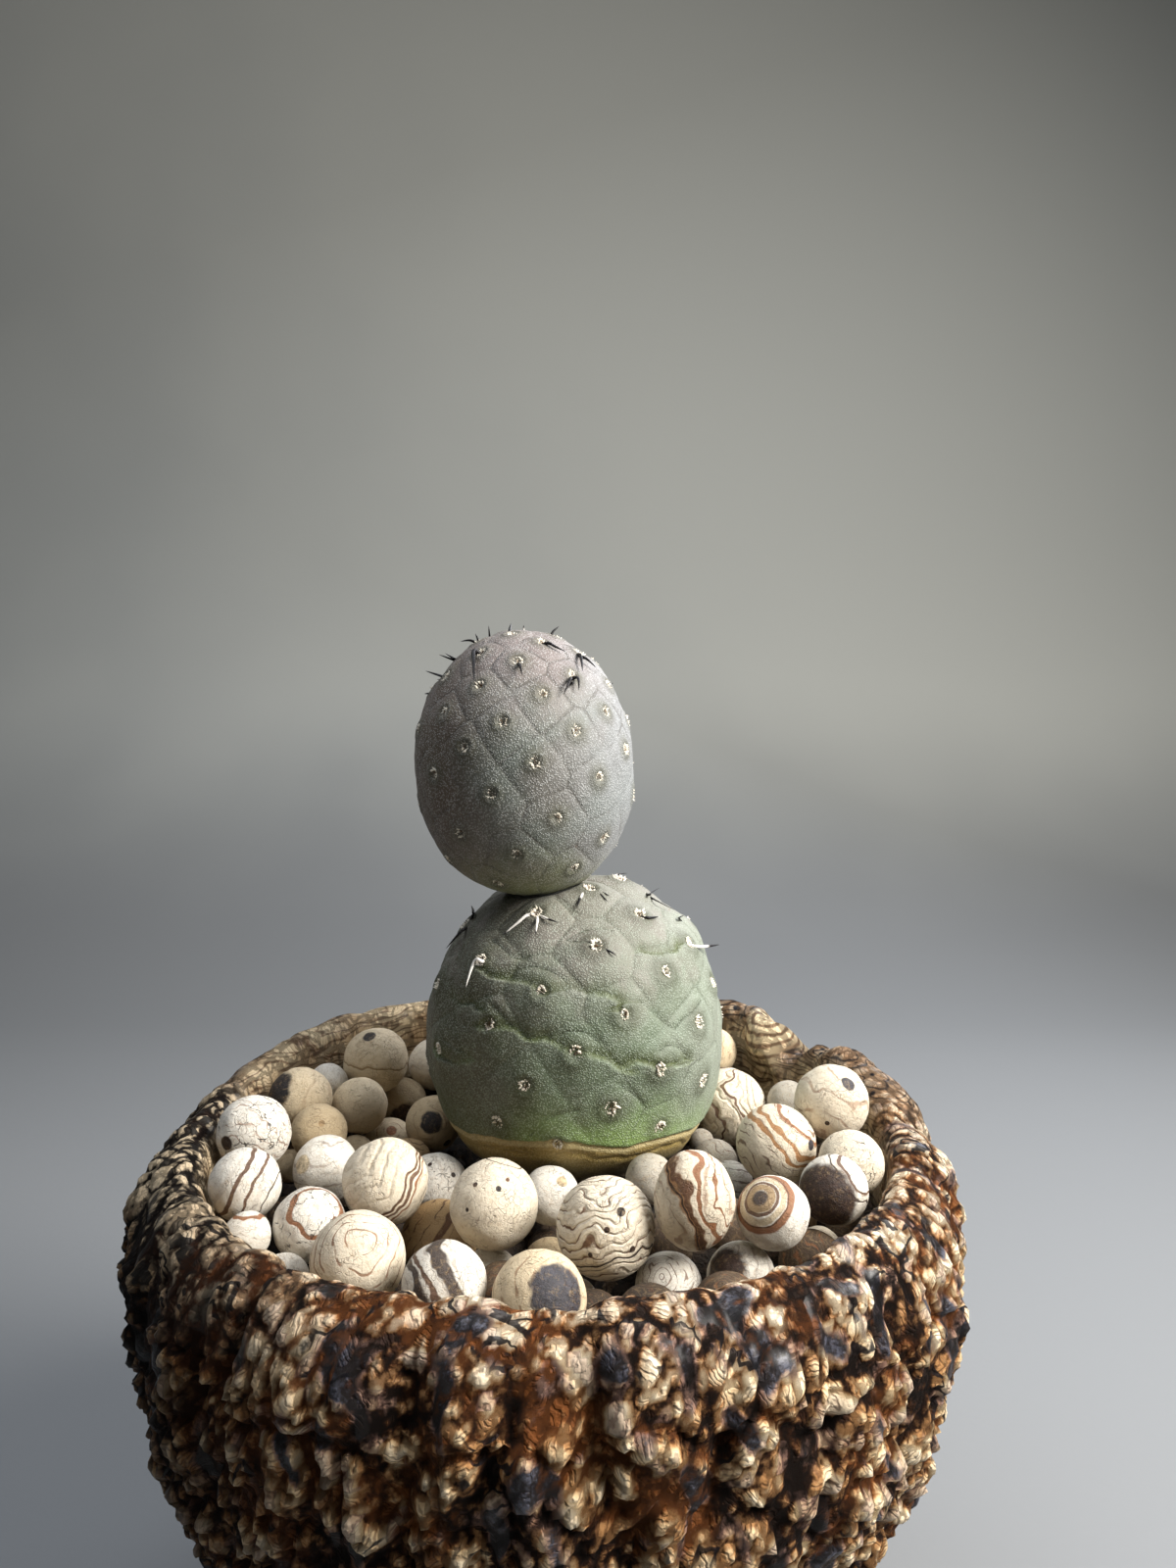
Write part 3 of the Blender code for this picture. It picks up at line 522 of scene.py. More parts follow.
# For each ball: the base clay, lines as (way they turn round, how many, how bent, how strong, colour), bands as
# (place from the start of the lines, half width, colour), discs and spots as (right, up, size, colour) on its face
ballLooks = {
    1: {"base": "white", "lines": ((-0.6, -0.7, 0.1), 9, 0.5, 0.6, "rust"), "cracks": 0.8,
        "discs": ((-0.72, -0.2, 0.2, "umber"),)},
    2: {"base": "white", "lines": ((0.85, -0.5, 0), 3, 0.15, 0.2, "brown"),
        "bands": ((1.32, 0.045, "brown"), (1.78, 0.07, "brown"), (0.8, 0.02, "umber"))},
    3: {"base": "white", "lines": ((0.1, 1, 0), 4, 0.3, 0.3, "tan"), "bands": ((0.75, 0.11, "rust"),)},
    4: {"base": "white", "lines": ((0.2, 0.4, 0.8), 3, 0.3, 0.2, "brown"), "bands": ((0.75, 0.09, "rust"),),
        "cracks": 0.6},
    5: {"base": "ivory", "lines": ((0.08, 0.3, 0.95), 11, 0.2, 0.8, "rust")},
    6: {"base": "white", "lines": ((0.1, 0.95, 0.2), 5, 0.4, 0.5, "brown"), "discs": ((-0.7, 0.2, 0.3, "cream"),)},
    7: {"base": "ivory", "lines": ((-0.75, 0.55, 0.35), 9, 0.25, 0.35, "tan"),
        "bands": ((1.72, 0.03, "brown"), (1.85, 0.05, "brown"), (2.0, 0.03, "rust")), "grooves": 0.8},
    8: {"base": "beige", "lines": ((0, 1, 0.2), 4, 0.3, 0.2, "tan"), "discs": ((0.1, 0.3, 0.12, "tan"),)},
    9: {"base": "cream", "lines": ((-0.8, 0.3, 0.2), 4, 0.4, 0.25, "rust"), "discs": ((-0.85, 0.3, 0.75, "nearBlack"),)},
    10: {"base": "cream", "lines": ((0, 1, 0), 2, 0.3, 0.08, "tan")},
    11: {"base": "white", "lines": ((0.2, 0.3, 0.9), 7, 0.2, 0.3, "tan")},
    12: {"base": "cream", "lines": ((0.2, 1, 0.2), 6, 0.35, 0.3, "tan"), "discs": ((-0.2, 0.72, 0.2, "nearBlack"),),
         "bands": ((1.62, 0.03, "tan"),)},
    13: {"base": "beige", "lines": ((0.5, 0.8, 0), 5, 0.3, 0.3, "rust"), "discs": ((0.1, -0.7, 0.7, "umber"),)},
    14: {"base": "beige", "lines": ((-0.1, 0.1, 0.98), 5, 0.3, 0.4, "brown"), "discs": (
        (-0.05, 0.05, 0.42, "nearBlack"), (0.5, -0.7, 0.16, "nearBlack"), (-0.6, -0.6, 0.14, "nearBlack"))},
    15: {"base": "ivory", "lines": ((0.3, 1, 0), 5, 0.3, 0.3, "tan")},
    16: {"base": "cream", "lines": ((0.1, 0.5, 0.85), 9, 0.25, 0.7, "rust"), "discs": ((0.08, 0.5, 0.22, "rust"),)},
    17: {"base": "tan", "lines": ((0.3, 0.9, 0.2), 9, 0.35, 0.9, "umber"), "bands": ((1.2, 0.12, "rust"),)},
    18: {"base": "white", "lines": ((0.9, 0.3, 0.1), 5, 0.3, 0.25, "grey"), "discs": (
        (0.55, 0.25, 0.09, "nearBlack"), (-0.2, 0.62, 0.07, "umber")), "cracks": 0.3},
    19: {"base": "beige", "lines": ((0, 1, 0), 3, 0.3, 0.2, "tan")},
    20: {"base": "white", "lines": ((0.9, 0.3, 0), 7, 0.4, 0.35, "tan")},
    21: {"base": "beige", "lines": ((0.1, 1, 0), 3, 0.3, 0.2, "tan")},
    22: {"base": "ivory", "lines": ((0.25, 0.95, 0.1), 5, 0.12, 0.12, "brown"), "bands": ((0.42, 0.018, "umber"),),
         "discs": ((0.1, 0.32, 0.07, "nearBlack"), (-0.42, 0.42, 0.06, "umber"), (-0.6, -0.1, 0.05, "umber"),
                   (0.3, 0.5, 0.05, "brown"))},
    23: {"base": "tan", "lines": ((0.8, -0.55, 0.15), 10, 0.22, 0.95, "umber"), "bands": ((1.5, 0.1, "brown"),)},
    24: {"base": "white", "lines": ((0.85, 0.45, 0.25), 7, 0.3, 0.4, "brown"),
         "bands": ((1.15, 0.15, "umber"), (1.62, 0.06, "brown"), (1.85, 0.12, "umber"))},
    25: {"base": "cream", "lines": ((0.62, 0.12, 0.77), 8, 0.2, 0.6, "rust"), "discs": ((0.42, 0.1, 0.64, "slate"),)},
    26: {"base": "ivory", "lines": ((0, 1, 0), 5, 0.3, 0.3, "tan")},
    27: {"base": "white", "lines": ((0.4, 0.9, 0), 5, 0.3, 0.4, "brown")},
    28: {"base": "white", "lines": ((0.3, 0.9, 0), 2, 0.3, 0.12, "grey"), "discs": ((0.4, 0.45, 0.2, "beige"),)},
    29: {"base": "ivory", "lines": ((-0.25, 0.95, 0.1), 15, 0.42, 0.95, "brown"), "bands": ((2.1, 0.03, "umber"),),
         "discs": ((0.3, 0.28, 0.09, "nearBlack"), (0.02, -0.05, 0.06, "umber"), (0.52, -0.4, 0.07, "umber"),
                   (-0.3, -0.5, 0.05, "umber")), "grooves": 0.9},
    30: {"base": "beige", "lines": ((0.4, 0.8, 0), 7, 0.4, 0.5, "brown")},
    31: {"base": "grey", "lines": ((0.2, 1, 0), 4, 0.4, 0.25, "tan"), "specks": 1.0},
    32: {"base": "white", "lines": ((-0.2, 0.3, 0.93), 13, 0.3, 0.8, "brown")},
    33: {"base": "ivory", "lines": ((0.93, 0.3, 0.15), 6, 0.42, 0.55, "rust"),
         "bands": ((1.24, 0.08, "rust"), (1.66, 0.15, "amber"), (1.6, 0.08, "brown"), (1.74, 0.03, "umber"),
                   (0.8, 0.025, "rust"))},
    34: {"base": "white", "lines": ((-0.36, 0.36, 0.86), 4, 0.08, 0.12, "tan"),
         "bands": ((0.3, 0.13, "tan"), (0.0, 0.19, "umber"), (0.47, 0.05, "brown"), (0.64, 0.09, "cream"),
                   (0.86, 0.11, "rust"), (0.78, 0.02, "brown"))},
    35: {"base": "white", "lines": ((-0.5, 0.4, 0.7), 6, 0.3, 0.4, "brown"), "discs": ((-0.5, 0.15, 0.7, "umber"),)},
    36: {"base": "ivory", "lines": ((0.35, 0.9, 0.15), 5, 0.4, 0.55, "rust"),
         "discs": ((0.42, 0.5, 0.2, "slate"), (-0.1, -0.55, 0.07, "umber")), "specks": 0.4},
    37: {"base": "ivory", "lines": ((0.2, 1, 0), 4, 0.4, 0.2, "tan"), "cracks": 1.0, "specks": 0.5},
    38: {"base": "white", "lines": ((0.75, 0.6, 0.2), 4, 0.25, 0.4, "brown"), "discs": ((-0.36, -0.34, 1.12, "umber"),),
         "bands": ((0.72, 0.05, "brown"), (0.95, 0.03, "umber"))},
    39: {"base": "ivory", "lines": ((0.62, 0.72, 0.2), 12, 0.3, 0.8, "brown"),
         "bands": ((1.1, 0.07, "amber"), (1.38, 0.06, "amber"), (0.72, 0.05, "rust")),
         "discs": ((0.86, 0.05, 0.14, "slate"),)},
    40: {"base": "ivory", "lines": ((0.95, 0.1, 0.2), 11, 0.5, 0.7, "tan"), "grooves": 0.8,
         "bands": ((1.3, 0.04, "brown"), (1.75, 0.04, "brown"))},
    41: {"base": "grey", "lines": ((0.2, 1, 0), 4, 0.3, 0.2, "tan")},
    42: {"base": "cream", "lines": ((-0.3, 0.2, 0.9), 7, 0.3, 0.5, "amber"), "bands": ((0.6, 0.12, "amber"),)},
    43: {"base": "grey", "lines": ((0.6, 0.8, 0), 9, 0.3, 0.7, "brown")},
    44: {"base": "white", "lines": ((0.1, 0.95, 0), 7, 0.2, 0.8, "umber")},
    45: {"base": "grey", "lines": ((0, 1, 0), 4, 0.3, 0.3, "tan")},
    46: {"base": "ivory", "lines": ((0.4, 1, 0), 5, 0.3, 0.4, "tan")},
    47: {"base": "tan", "lines": ((0.4, 1, 0), 6, 0.3, 0.9, "umber")},
}
hiddenLook = {"bases": ("white", "ivory", "cream", "beige"), "tones": ("brown", "rust", "tan", "umber")}


def clayBall(name, look, toward, seed):        # toward is the side that faces the camera
    paint = Paint(name)
    right = np.cross(toward, (0, 0, 1.0))
    right = -right / np.linalg.norm(right) if right[0] < 0 else right / np.linalg.norm(right)
    up = np.cross(right, toward)
    up = up / np.linalg.norm(up) * (1 if up[2] > 0 else -1)

    def facing(r, u, t=None):
        t = math.sqrt(max(1 - r * r - u * u, 0.02)) if t is None else t
        way = right * r + up * u + toward * t
        return tuple(way / np.linalg.norm(way))

    ball = paint.vector("NORMALIZE", paint.node("TexCoord", out=3))
    seeded = paint.vector("ADD", ball, (seed * 3.7, seed * 1.9, seed * 5.3))
    way, count, bend, strong, tone = look["lines"]
    soft = paint.noise(seeded, 1.3, 2, 0.45) - 0.5
    ripple = paint.noise(seeded, 4.5, 2) - 0.5
    field = paint.math("ARCCOSINE", paint.vector("DOT_PRODUCT", ball, facing(*way), out=1))
    field = field + soft * (2.6 * bend) + ripple * (0.22 * bend)
    base = tint(*clay[look["base"]])
    cloud = paint.noise(seeded, 2.2, 3)
    colour = paint.mix(cloud, tuple(c * 0.86 for c in base), tuple(min(c * 1.08, 0.9) for c in base))
    faint = paint.math("PINGPONG", field * (count * 2.6 / math.pi), 0.5)
    colour = paint.mix((1 - paint.rise(faint, 0.0, 0.22)) * 0.2 * strong ** 0.5, colour, tint(*clay["tan"]))
    line = paint.math("PINGPONG", field * (count / math.pi), 0.5)
    thick = paint.noise(seeded, 1.7, 2)
    width = paint.rise(thick, 0.3, 0.7) * 0.14 + 0.015
    inked = (1 - paint.rise(line, width * 0.35, width)) * paint.rise(paint.noise(seeded, 2.9, 1), 0.34, 0.5)
    ink = paint.mix(paint.noise(seeded, 5, 2), tint(*clay[tone]), tint(*clay["brown"]))
    colour = paint.mix(inked * strong, colour, ink)
    mask = inked * strong
    for level, half, shade in look.get("bands", ()):
        wide = half * (0.55 + 0.9 * thick)
        band = 1 - paint.rise(abs(field - level), wide * 0.75, wide * 1.25)
        veined = paint.mix(paint.noise(seeded, 7, 3), tint(*clay[shade]), tuple(c * 0.55 for c in tint(*clay[shade])))
        colour = paint.mix(band * 0.95, colour, veined)
        mask = paint.math("MAXIMUM", mask, band)
    edge = (paint.noise(seeded, 3.4, 3) - 0.5) * 0.32
    for r, u, size, shade in look.get("discs", ()):
        off = paint.math("ARCCOSINE", paint.vector("DOT_PRODUCT", ball, facing(r, u), out=1))
        disc = 1 - paint.rise(off + edge * min(size, 0.6) * 1.7, size * 0.84, size * 1.08)
        mottled = paint.mix(paint.rise(paint.noise(seeded, 6, 4, 0.7), 0.3, 0.7), tuple(c * 0.5 for c in tint(*clay[shade])),
                            tuple(c * 1.3 for c in tint(*clay[shade])))
        colour = paint.mix(disc, colour, mottled)
        mask = paint.math("MAXIMUM", mask, disc)
    pit = paint.cells(seeded, 9)
    pits = (1 - paint.rise(pit, 0.06, 0.12)) * paint.rise(paint.noise(seeded, 3, 1), 0.52, 0.6)
    pits = pits * (0.45 + 0.5 * look.get("specks", 0))
    colour = paint.mix(pits, colour, tint(*clay["umber"]))
    creases = paint.cells(paint.warped(seeded, 2.4, 0.3), 5.5, "DISTANCE_TO_EDGE")
    creased = (1 - paint.rise(creases, 0.0, 0.045)) * paint.rise(paint.noise(seeded, 2.3, 2), 0.4, 0.6)
    colour = paint.mix(creased * 0.42, colour, tint(*clay["brown"]))
    grain = paint.noise(seeded, 15, 4, 0.7)
    grime = paint.rise(paint.noise(seeded, 7, 4, 0.75), 0.5, 0.72)
    colour = paint.mix(grime * 0.4, colour, tint(*clay["tan"]))
    colour = paint.mix(paint.rise(grain, 0.58, 0.72) * 0.35, colour, tint(*clay["brown"]))
    height = cloud * 0.3 + grain * -0.6 - pits * 0.6 - mask * 0.12 - creased * 0.35
    if look.get("cracks"):
        apart = paint.cells(paint.warped(seeded, 3, 0.25), 2.6, "DISTANCE_TO_EDGE")
        torn = (1 - paint.rise(apart, 0.008, 0.035)) * paint.rise(paint.noise(seeded, 1.9, 3, 0.7), 0.5, 0.56)
        colour = paint.mix(torn * look["cracks"], colour, tint(*clay["nearBlack"]))
        height = height - torn * 1.2
    if look.get("grooves"):
        height = height - (1 - paint.rise(line, 0, 0.3)) * look["grooves"] * 0.8
    return paint.finish(colour, 0.72 - 0.1 * mask, height, 0.24)


def ballPoints(radius, size, seed, detail):        # a hand-rolled ball, a little uneven
    form = bmesh.new()
    bmesh.ops.create_icosphere(form, subdivisions=detail, radius=1)
    draw = Vector((seed * 2.3, seed * 4.1, seed * 1.7))
    points = []
    for vert in form.verts:
        way = vert.co.normalized()
        dent = 0.028 * noise.noise(way * 1.6 + draw) + 0.012 * noise.noise(way * 4.2 + draw)
        dent += 0.003 * noise.noise(way * 13 + draw) - 0.012
        points.append(tuple(way[i] * size[i] / 2 * (1 + dent) for i in range(3)))
    faces = [tuple(v.index for v in face.verts) for face in form.faces]
    form.free()
    return points, faces


def ballNodes():
    return sorted(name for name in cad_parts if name.startswith("clay_ball_"))


def ballPlaces():        # middle and radius of each ball, from the frame
    places = []
    for name in ballNodes():
        low, high = (np.array(corner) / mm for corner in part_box(name))
        places.append(((low + high) / 2, high[1] / 2 - low[1] / 2))
    return places


def towardEye(middle):
    way = eye - middle
    return way / np.linalg.norm(way)


def buildBalls():
    draw = random.Random(21)
    for number, name in enumerate(ballNodes(), 1):
        low, high = (np.array(corner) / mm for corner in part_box(name))
        middle, size = (low + high) / 2, high - low
        size[0] = size[1]
        look = ballLooks.get(number)
        if look is None:
            way = tuple(draw.uniform(-1, 1) for _ in range(3))
            look = {"base": draw.choice(hiddenLook["bases"]),
                    "lines": (way, draw.randint(4, 11), 0.35, draw.uniform(0.3, 0.8), draw.choice(hiddenLook["tones"]))}
        points, faces = ballPoints(1, size, number, 5 if size[1] > 7.2 else 4)
        piece = meshPiece(name + "_marbled", points, faces, clayBall(name, look, towardEye(middle), number))
        piece.location = middle * mm
        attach(piece, "root")
        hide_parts(name)
    print("balls", len(ballNodes()))


# Soil under the balls, with more balls sunk in it where the heap leaves it bare

soil = {"low": 66, "high": 81.3, "bed": 0.78, "slope": 0.7, "clear": 0.3, "feel": (0, 1.7, 3.5), "reach": 46,
        "stands": 1.4, "spots": 700, "seed": 3, "sunk": 34, "largest": 4.3, "smallest": 1.9, "top": 80,
        "crumbs": 420, "rings": 60, "sectors": 200}


def underBalls(x, y, places):
    lowest = np.full(np.shape(x), float(soil["high"]))
    for middle, radius in places:
        reach = radius + soil["clear"]
        off = np.hypot(x - middle[0], y - middle[1])
        hollow = np.sqrt(np.maximum(reach * reach - off * off, 0))
        lowest = np.minimum(lowest, middle[2] - hollow + soil["slope"] * np.maximum(off - reach, 0))
    return lowest


def soilHeight(x, y, places):
    total, weight = np.full(np.shape(x), 1.4), np.full(np.shape(x), 0.02)
    for middle, radius in places:
        share = np.exp(-((x - middle[0]) ** 2 + (y - middle[1]) ** 2) / 32)
        total += share * (middle[2] - soil["bed"] * radius)
        weight += share
    height = np.clip(total / weight, soil["low"], soil["high"])
    for reach in soil["feel"]:
        for i in range(8):
            turn = math.pi * i / 4
            height = np.minimum(height, underBalls(x + reach * math.cos(turn), y + reach * math.sin(turn), places))
    near = np.hypot(x - lower["x"], y - lower["y"])
    floor = lower["bottom"] - 5.2
    edge = stemRadius(lower, 80)
    return np.minimum(height, floor + (soil["high"] - floor) * smoothStep(edge - 4, edge + 6, near))


def potInside(height):
    stations = sorted((z, r) for r, z in pot["inside"])
    return np.interp(height, [z for z, _ in stations], [r for _, r in stations]) - soil["clear"]


def sinkBalls(places):        # each in the widest gap that is left
    draw = random.Random(soil["seed"])
    spots = []
    for _ in range(soil["spots"]):
        reach, turn = soil["reach"] * math.sqrt(draw.random()), draw.uniform(0, 2 * math.pi)
        spots.append((reach * math.cos(turn), reach * math.sin(turn)))
    spots = np.array(spots)
    heights = soilHeight(spots[:, 0], spots[:, 1], places) + soil["stands"]
    spots = np.column_stack([spots, heights])
    stem = np.hypot(spots[:, 0] - lower["x"], spots[:, 1] - lower["y"]) - stemRadius(lower, soil["top"])
    room = np.minimum(potInside(heights) - np.hypot(spots[:, 0], spots[:, 1]), stem) - soil["clear"]
    for middle, radius in places:
        room = np.minimum(room, np.linalg.norm(spots - middle, axis=1) - radius - soil["clear"])
    sunk = []
    for _ in range(soil["sunk"]):
        best = int(np.argmax(room))
        radius = min(room[best], soil["largest"])
        if radius < soil["smallest"]:
            break
        sunk.append((spots[best].copy(), radius))
        room = np.minimum(room, np.linalg.norm(spots - spots[best], axis=1) - radius - 0.1)
    return sunk


def buildSoil():
    places = ballPlaces()
    sunk = sinkBalls(places)
    rings, sectors = soil["rings"], soil["sectors"]
    radii = soil["reach"] * (np.arange(1, rings + 1) / rings)
    turns = 2 * math.pi * np.arange(sectors) / sectors
    x, y = np.outer(radii, np.cos(turns)), np.outer(radii, np.sin(turns))
    z = soilHeight(x, y, places)
    grit = np.array([[0.5 * noise.noise(Vector((a, b, 0)) * 0.9) + 0.35 * noise.noise(Vector((a, b, 5)) * 2.3)
                      for a, b in zip(rowX, rowY)] for rowX, rowY in zip(x, y)])
    z = z + grit - 0.3
    points = np.stack([x, y, z], 2).reshape(-1, 3).tolist()
    side = ((45.6, 62), (43.0, 44.5), (36.0, 25.5), (20.4, 13.6))
    for radius, level in side:
        points += [(radius * math.cos(t), radius * math.sin(t), level) for t in turns]
    points += [(0, 0, float(z[0].mean())), (0, 0, 13.4)]
    faces = [tuple(reversed(face)) for face in gridFaces(rings + len(side), sectors)]
    top, end = len(points) - 2, len(points) - 1
    last = (rings + len(side) - 1) * sectors
    for i in range(sectors):
        j = (i + 1) % sectors
        faces.append((top, i, j))
        faces.append((end, last + j, last + i))
    bed = meshPiece("soil_bed", points, faces, grittySoil("soil_grit"))
    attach(bed, "root")
    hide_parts("soil")
    points, faces = [], []
    draw = random.Random(5)
    for _ in range(soil["crumbs"]):
        reach, turn = 45 * math.sqrt(draw.random()), draw.uniform(0, 2 * math.pi)
        cx, cy, size = reach * math.cos(turn), reach * math.sin(turn), draw.uniform(0.5, 1.3)
        near = math.hypot(cx - lower["x"], cy - lower["y"])
        if near < 13:
            continue
        cz = float(soilHeight(np.array(cx), np.array(cy), places)) + size * 0.1
        crumb, crumbFaces = ballPoints(1, (2 * size, 2 * size * draw.uniform(0.6, 1), 2 * size * 0.7), draw.random() * 9, 2)
        start = len(points)
        rough = [1 + draw.uniform(-0.18, 0.18) for _ in crumb]
        points += [(cx + p[0] * k, cy + p[1] * k, cz + p[2] * k) for p, k in zip(crumb, rough)]
        faces += [tuple(start + i for i in face) for face in crumbFaces]
    crumbs = meshPiece("soil_crumbs", points, faces, grittySoil("crumb_grit"), sharp=35)
    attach(crumbs, "root")
    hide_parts("soil")
    draw = random.Random(8)
    for number, (middle, radius) in enumerate(sunk, 1):
        way = tuple(draw.uniform(-1, 1) for _ in range(3))
        # sunk balls are made dark: soil stain, and painted shade of the gaps under the balls on top
        look = {"base": draw.choice(("stainAndShade", "stainAndShade", "dirtAndShade", "dirtAndShade")),
                "lines": (way, draw.randint(4, 10), 0.4, draw.uniform(0.3, 0.9), draw.choice(hiddenLook["tones"]))}
        points, faces = ballPoints(1, (2 * radius, 2 * radius, 2 * radius), 60 + number, 4)
        name = f"sunk_ball_{number:02d}"
        piece = meshPiece(name, points, faces, clayBall(name, look, towardEye(middle), 60 + number))
        piece.location = Vector(middle) * mm
        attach(piece, "root")
        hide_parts("soil")
    print("soil with", len(sunk), "sunk balls")


def grittySoil(name):
    paint = Paint(name)
    at = paint.place()
    speck = paint.cells(at, 0.9, out=1)
    tone = paint.node("SeparateColor", None, {0: speck})
    colour = paint.node("ValToRGB", {"stops": ((0, tint(24, 19, 15)), (0.6, tint(52, 40, 30)), (0.9, tint(84, 66, 48)),
                                               (1, tint(120, 104, 84)))}, {0: tone})
    colour = paint.mix(paint.noise(at, 0.5, 3) * 0.6, colour, tint(20, 16, 13))
    return paint.finish(colour, 0.92, paint.noise(at, 2.2, 4), 0.4)


# Cactus: each segment is a turned form with its skin raised by formula

lower = {"name": "cactus_lower_segment", "x": 3.6, "y": 14.0, "bottom": 75.3, "height": 42.4, "radius": 22.6,
         "low": 1.96, "high": 2.24, "wide": 0.39, "base": 0.52, "lean": 0.0, "rows": 210, "columns": 420,
         "relief": {"swell": 0.75, "reach": 4.2, "slow": 0.6, "quick": 0.09, "net": 0.1, "areole": 1.1, "calm": 0.3},
         "areoles": {"first": -19, "last": 29, "turn": 99.45, "phase": -0.8, "level": 96.9, "rise": 0.74,
                     "bend": -0.0009, "pull": 5.0},
         "spots": {22: (547, 936), 29: (603, 911), 25: (655, 936), 18: (609, 968), 21: (705, 965), 14: (681, 993),
                   7: (637, 1037), 10: (729, 1003), 11: (552, 1014), 4: (497, 1047), 0: (587, 1076), -4: (674, 1091), -7: (535, 1108),
                   -11: (624, 1132), -14: (505, 1146), -15: (677, 1152), -18: (568, 1168), 3: (713, 1044),
                   15: (491, 983), -8: (720, 1103)},
         "root": ((9, -2.6), (5.5, -4.4), (4.2, -8), (3.4, -15), (2.2, -20))}
upper = {"name": "cactus_upper_segment", "x": -3.5, "y": 11.0, "bottom": 115.8, "height": 39.5, "radius": 16.3,
         "low": 2.1, "high": 2.0, "wide": 0.49, "base": 0.0, "lean": -0.018, "rows": 190, "columns": 340,
         "relief": {"swell": 0.22, "reach": 3.2, "slow": 0.3, "quick": 0.04, "net": 0.07, "areole": 0.85, "calm": 0.8},
         "areoles": {"first": -26, "last": 41, "turn": 99.61, "phase": 6.2, "level": 136.36, "rise": 0.6,
                     "bend": -0.0036, "pull": 0.0},
         "spots": {40: (522, 648), 33: (490, 666), 29: (528, 675), 36: (553, 656), 32: (591, 666), 25: (585, 690),
                   22: (489, 700), 18: (554, 709), 14: (619, 726), 11: (513, 737), 7: (588, 746), 15: (453, 727),
                   26: (454, 690), 0: (546, 778), 4: (474, 762), 3: (639, 764), -4: (612, 793), -3: (442, 790),
                   -7: (501, 810), -11: (569, 834), -15: (617, 855), -14: (470, 850), -18: (527, 872)},
         "root": ()}
# Folds and fine wrinkles of the lower segment and the edge of its corky foot, as spots of the photograph
folds = (((492, 990), (503, 999), (522, 1001), (537, 1004), (545, 1009), (551, 1015), (560, 1016), (575, 1012),
          (584, 1011), (600, 1015), (617, 1016), (626, 1019), (631, 1025), (631, 1032)),
         ((492, 1050), (502, 1050), (526, 1051), (532, 1056), (539, 1061), (556, 1061), (566, 1066), (579, 1072),
          (587, 1076), (598, 1076), (611, 1079), (621, 1081), (627, 1088), (635, 1093), (644, 1095)),
         ((637, 1090), (643, 1085), (650, 1083), (660, 1086), (673, 1089), (684, 1087), (699, 1083)),
         ((463, 1019), (468, 1024), (483, 1026), (491, 1033)),
         ((449, 1070), (452, 1076), (462, 1083), (469, 1086), (481, 1082)),
         ((656, 972), (666, 975), (674, 976), (686, 973), (692, 966)))
wrinkles = (((502, 960), (512, 967), (520, 975), (527, 979), (539, 979)),
            ((522, 996), (530, 990), (545, 987), (562, 992), (577, 1001)),
            ((577, 960), (594, 951), (613, 948), (624, 951)), ((577, 960), (588, 962), (599, 963)),
            ((504, 1025), (512, 1035), (522, 1047)), ((569, 1057), (579, 1052), (592, 1052), (601, 1056), (609, 1063)),
            ((671, 1073), (676, 1068), (682, 1066), (690, 1069), (698, 1077)),
            ((650, 1021), (665, 1032), (682, 1047), (688, 1050), (694, 1041), (705, 1032), (714, 1021)),
            ((630, 1105), (645, 1116), (658, 1128)), ((566, 918), (577, 927), (587, 938)),
            ((450, 1056), (462, 1064), (474, 1073)), ((540, 1160), (560, 1140), (590, 1132)))
foot = ((473, 1155), (480, 1158), (500, 1159), (515, 1163), (540, 1165), (565, 1162), (590, 1165), (615, 1170),
        (640, 1171), (655, 1166), (670, 1162), (690, 1157), (706, 1152))


def stemProfile(segment, share):
    share = np.asarray(share, float)
    wide, low, high = segment["wide"], segment["low"], segment["high"]
    fall = np.clip((wide - share) / wide, 0, 1)
    under = segment["base"] + (1 - segment["base"]) * np.maximum(1 - fall ** low, 0) ** (1 / low)
    fall = np.clip((share - wide) / (1 - wide), 0, 1)
    over = np.maximum(1 - fall ** high, 0) ** (1 / high)
    return segment["radius"] * np.where(share < wide, under, over)


def stemRadius(segment, level):
    return float(stemProfile(segment, (level - segment["bottom"]) / segment["height"])) + 0.55


def stemPoint(segment, share, turn):        # turn runs from the front to the right
    share, turn = np.asarray(share, float), np.asarray(turn, float)
    radius = stemProfile(segment, share)
    rise = segment["height"] * share
    x = segment["x"] + segment["lean"] * rise + radius * np.sin(turn)
    return np.stack([x, segment["y"] - radius * np.cos(turn), segment["bottom"] + rise + 0 * turn], -1)


def stemNormal(segment, share, turn):
    share = np.clip(share, 0.01, 0.99)
    along = stemPoint(segment, share + 0.005, turn) - stemPoint(segment, share - 0.005, turn)
    side = stemPoint(segment, share, np.asarray(turn) + 0.02) - stemPoint(segment, share, np.asarray(turn) - 0.02)
    normal = np.cross(side, along)
    return normal / np.linalg.norm(normal, axis=-1, keepdims=True)


def onStem(segment, pixel, lift=0.0):        # where the camera's line through a spot of the photograph meets the segment
    spots = eye + rayThrough(pixel) * np.arange(120, 200, 0.1)[:, None]
    share = (spots[:, 2] - segment["bottom"]) / segment["height"]
    middle = segment["x"] + segment["lean"] * (spots[:, 2] - segment["bottom"])
    off = np.hypot(spots[:, 0] - middle, spots[:, 1] - segment["y"])
    outside = off - stemProfile(segment, np.clip(share, 0, 1))
    inside = np.flatnonzero((outside <= lift) & (share > 0) & (share < 1))
    return spots[inside[0]] if len(inside) else spots[np.argmin(outside)]


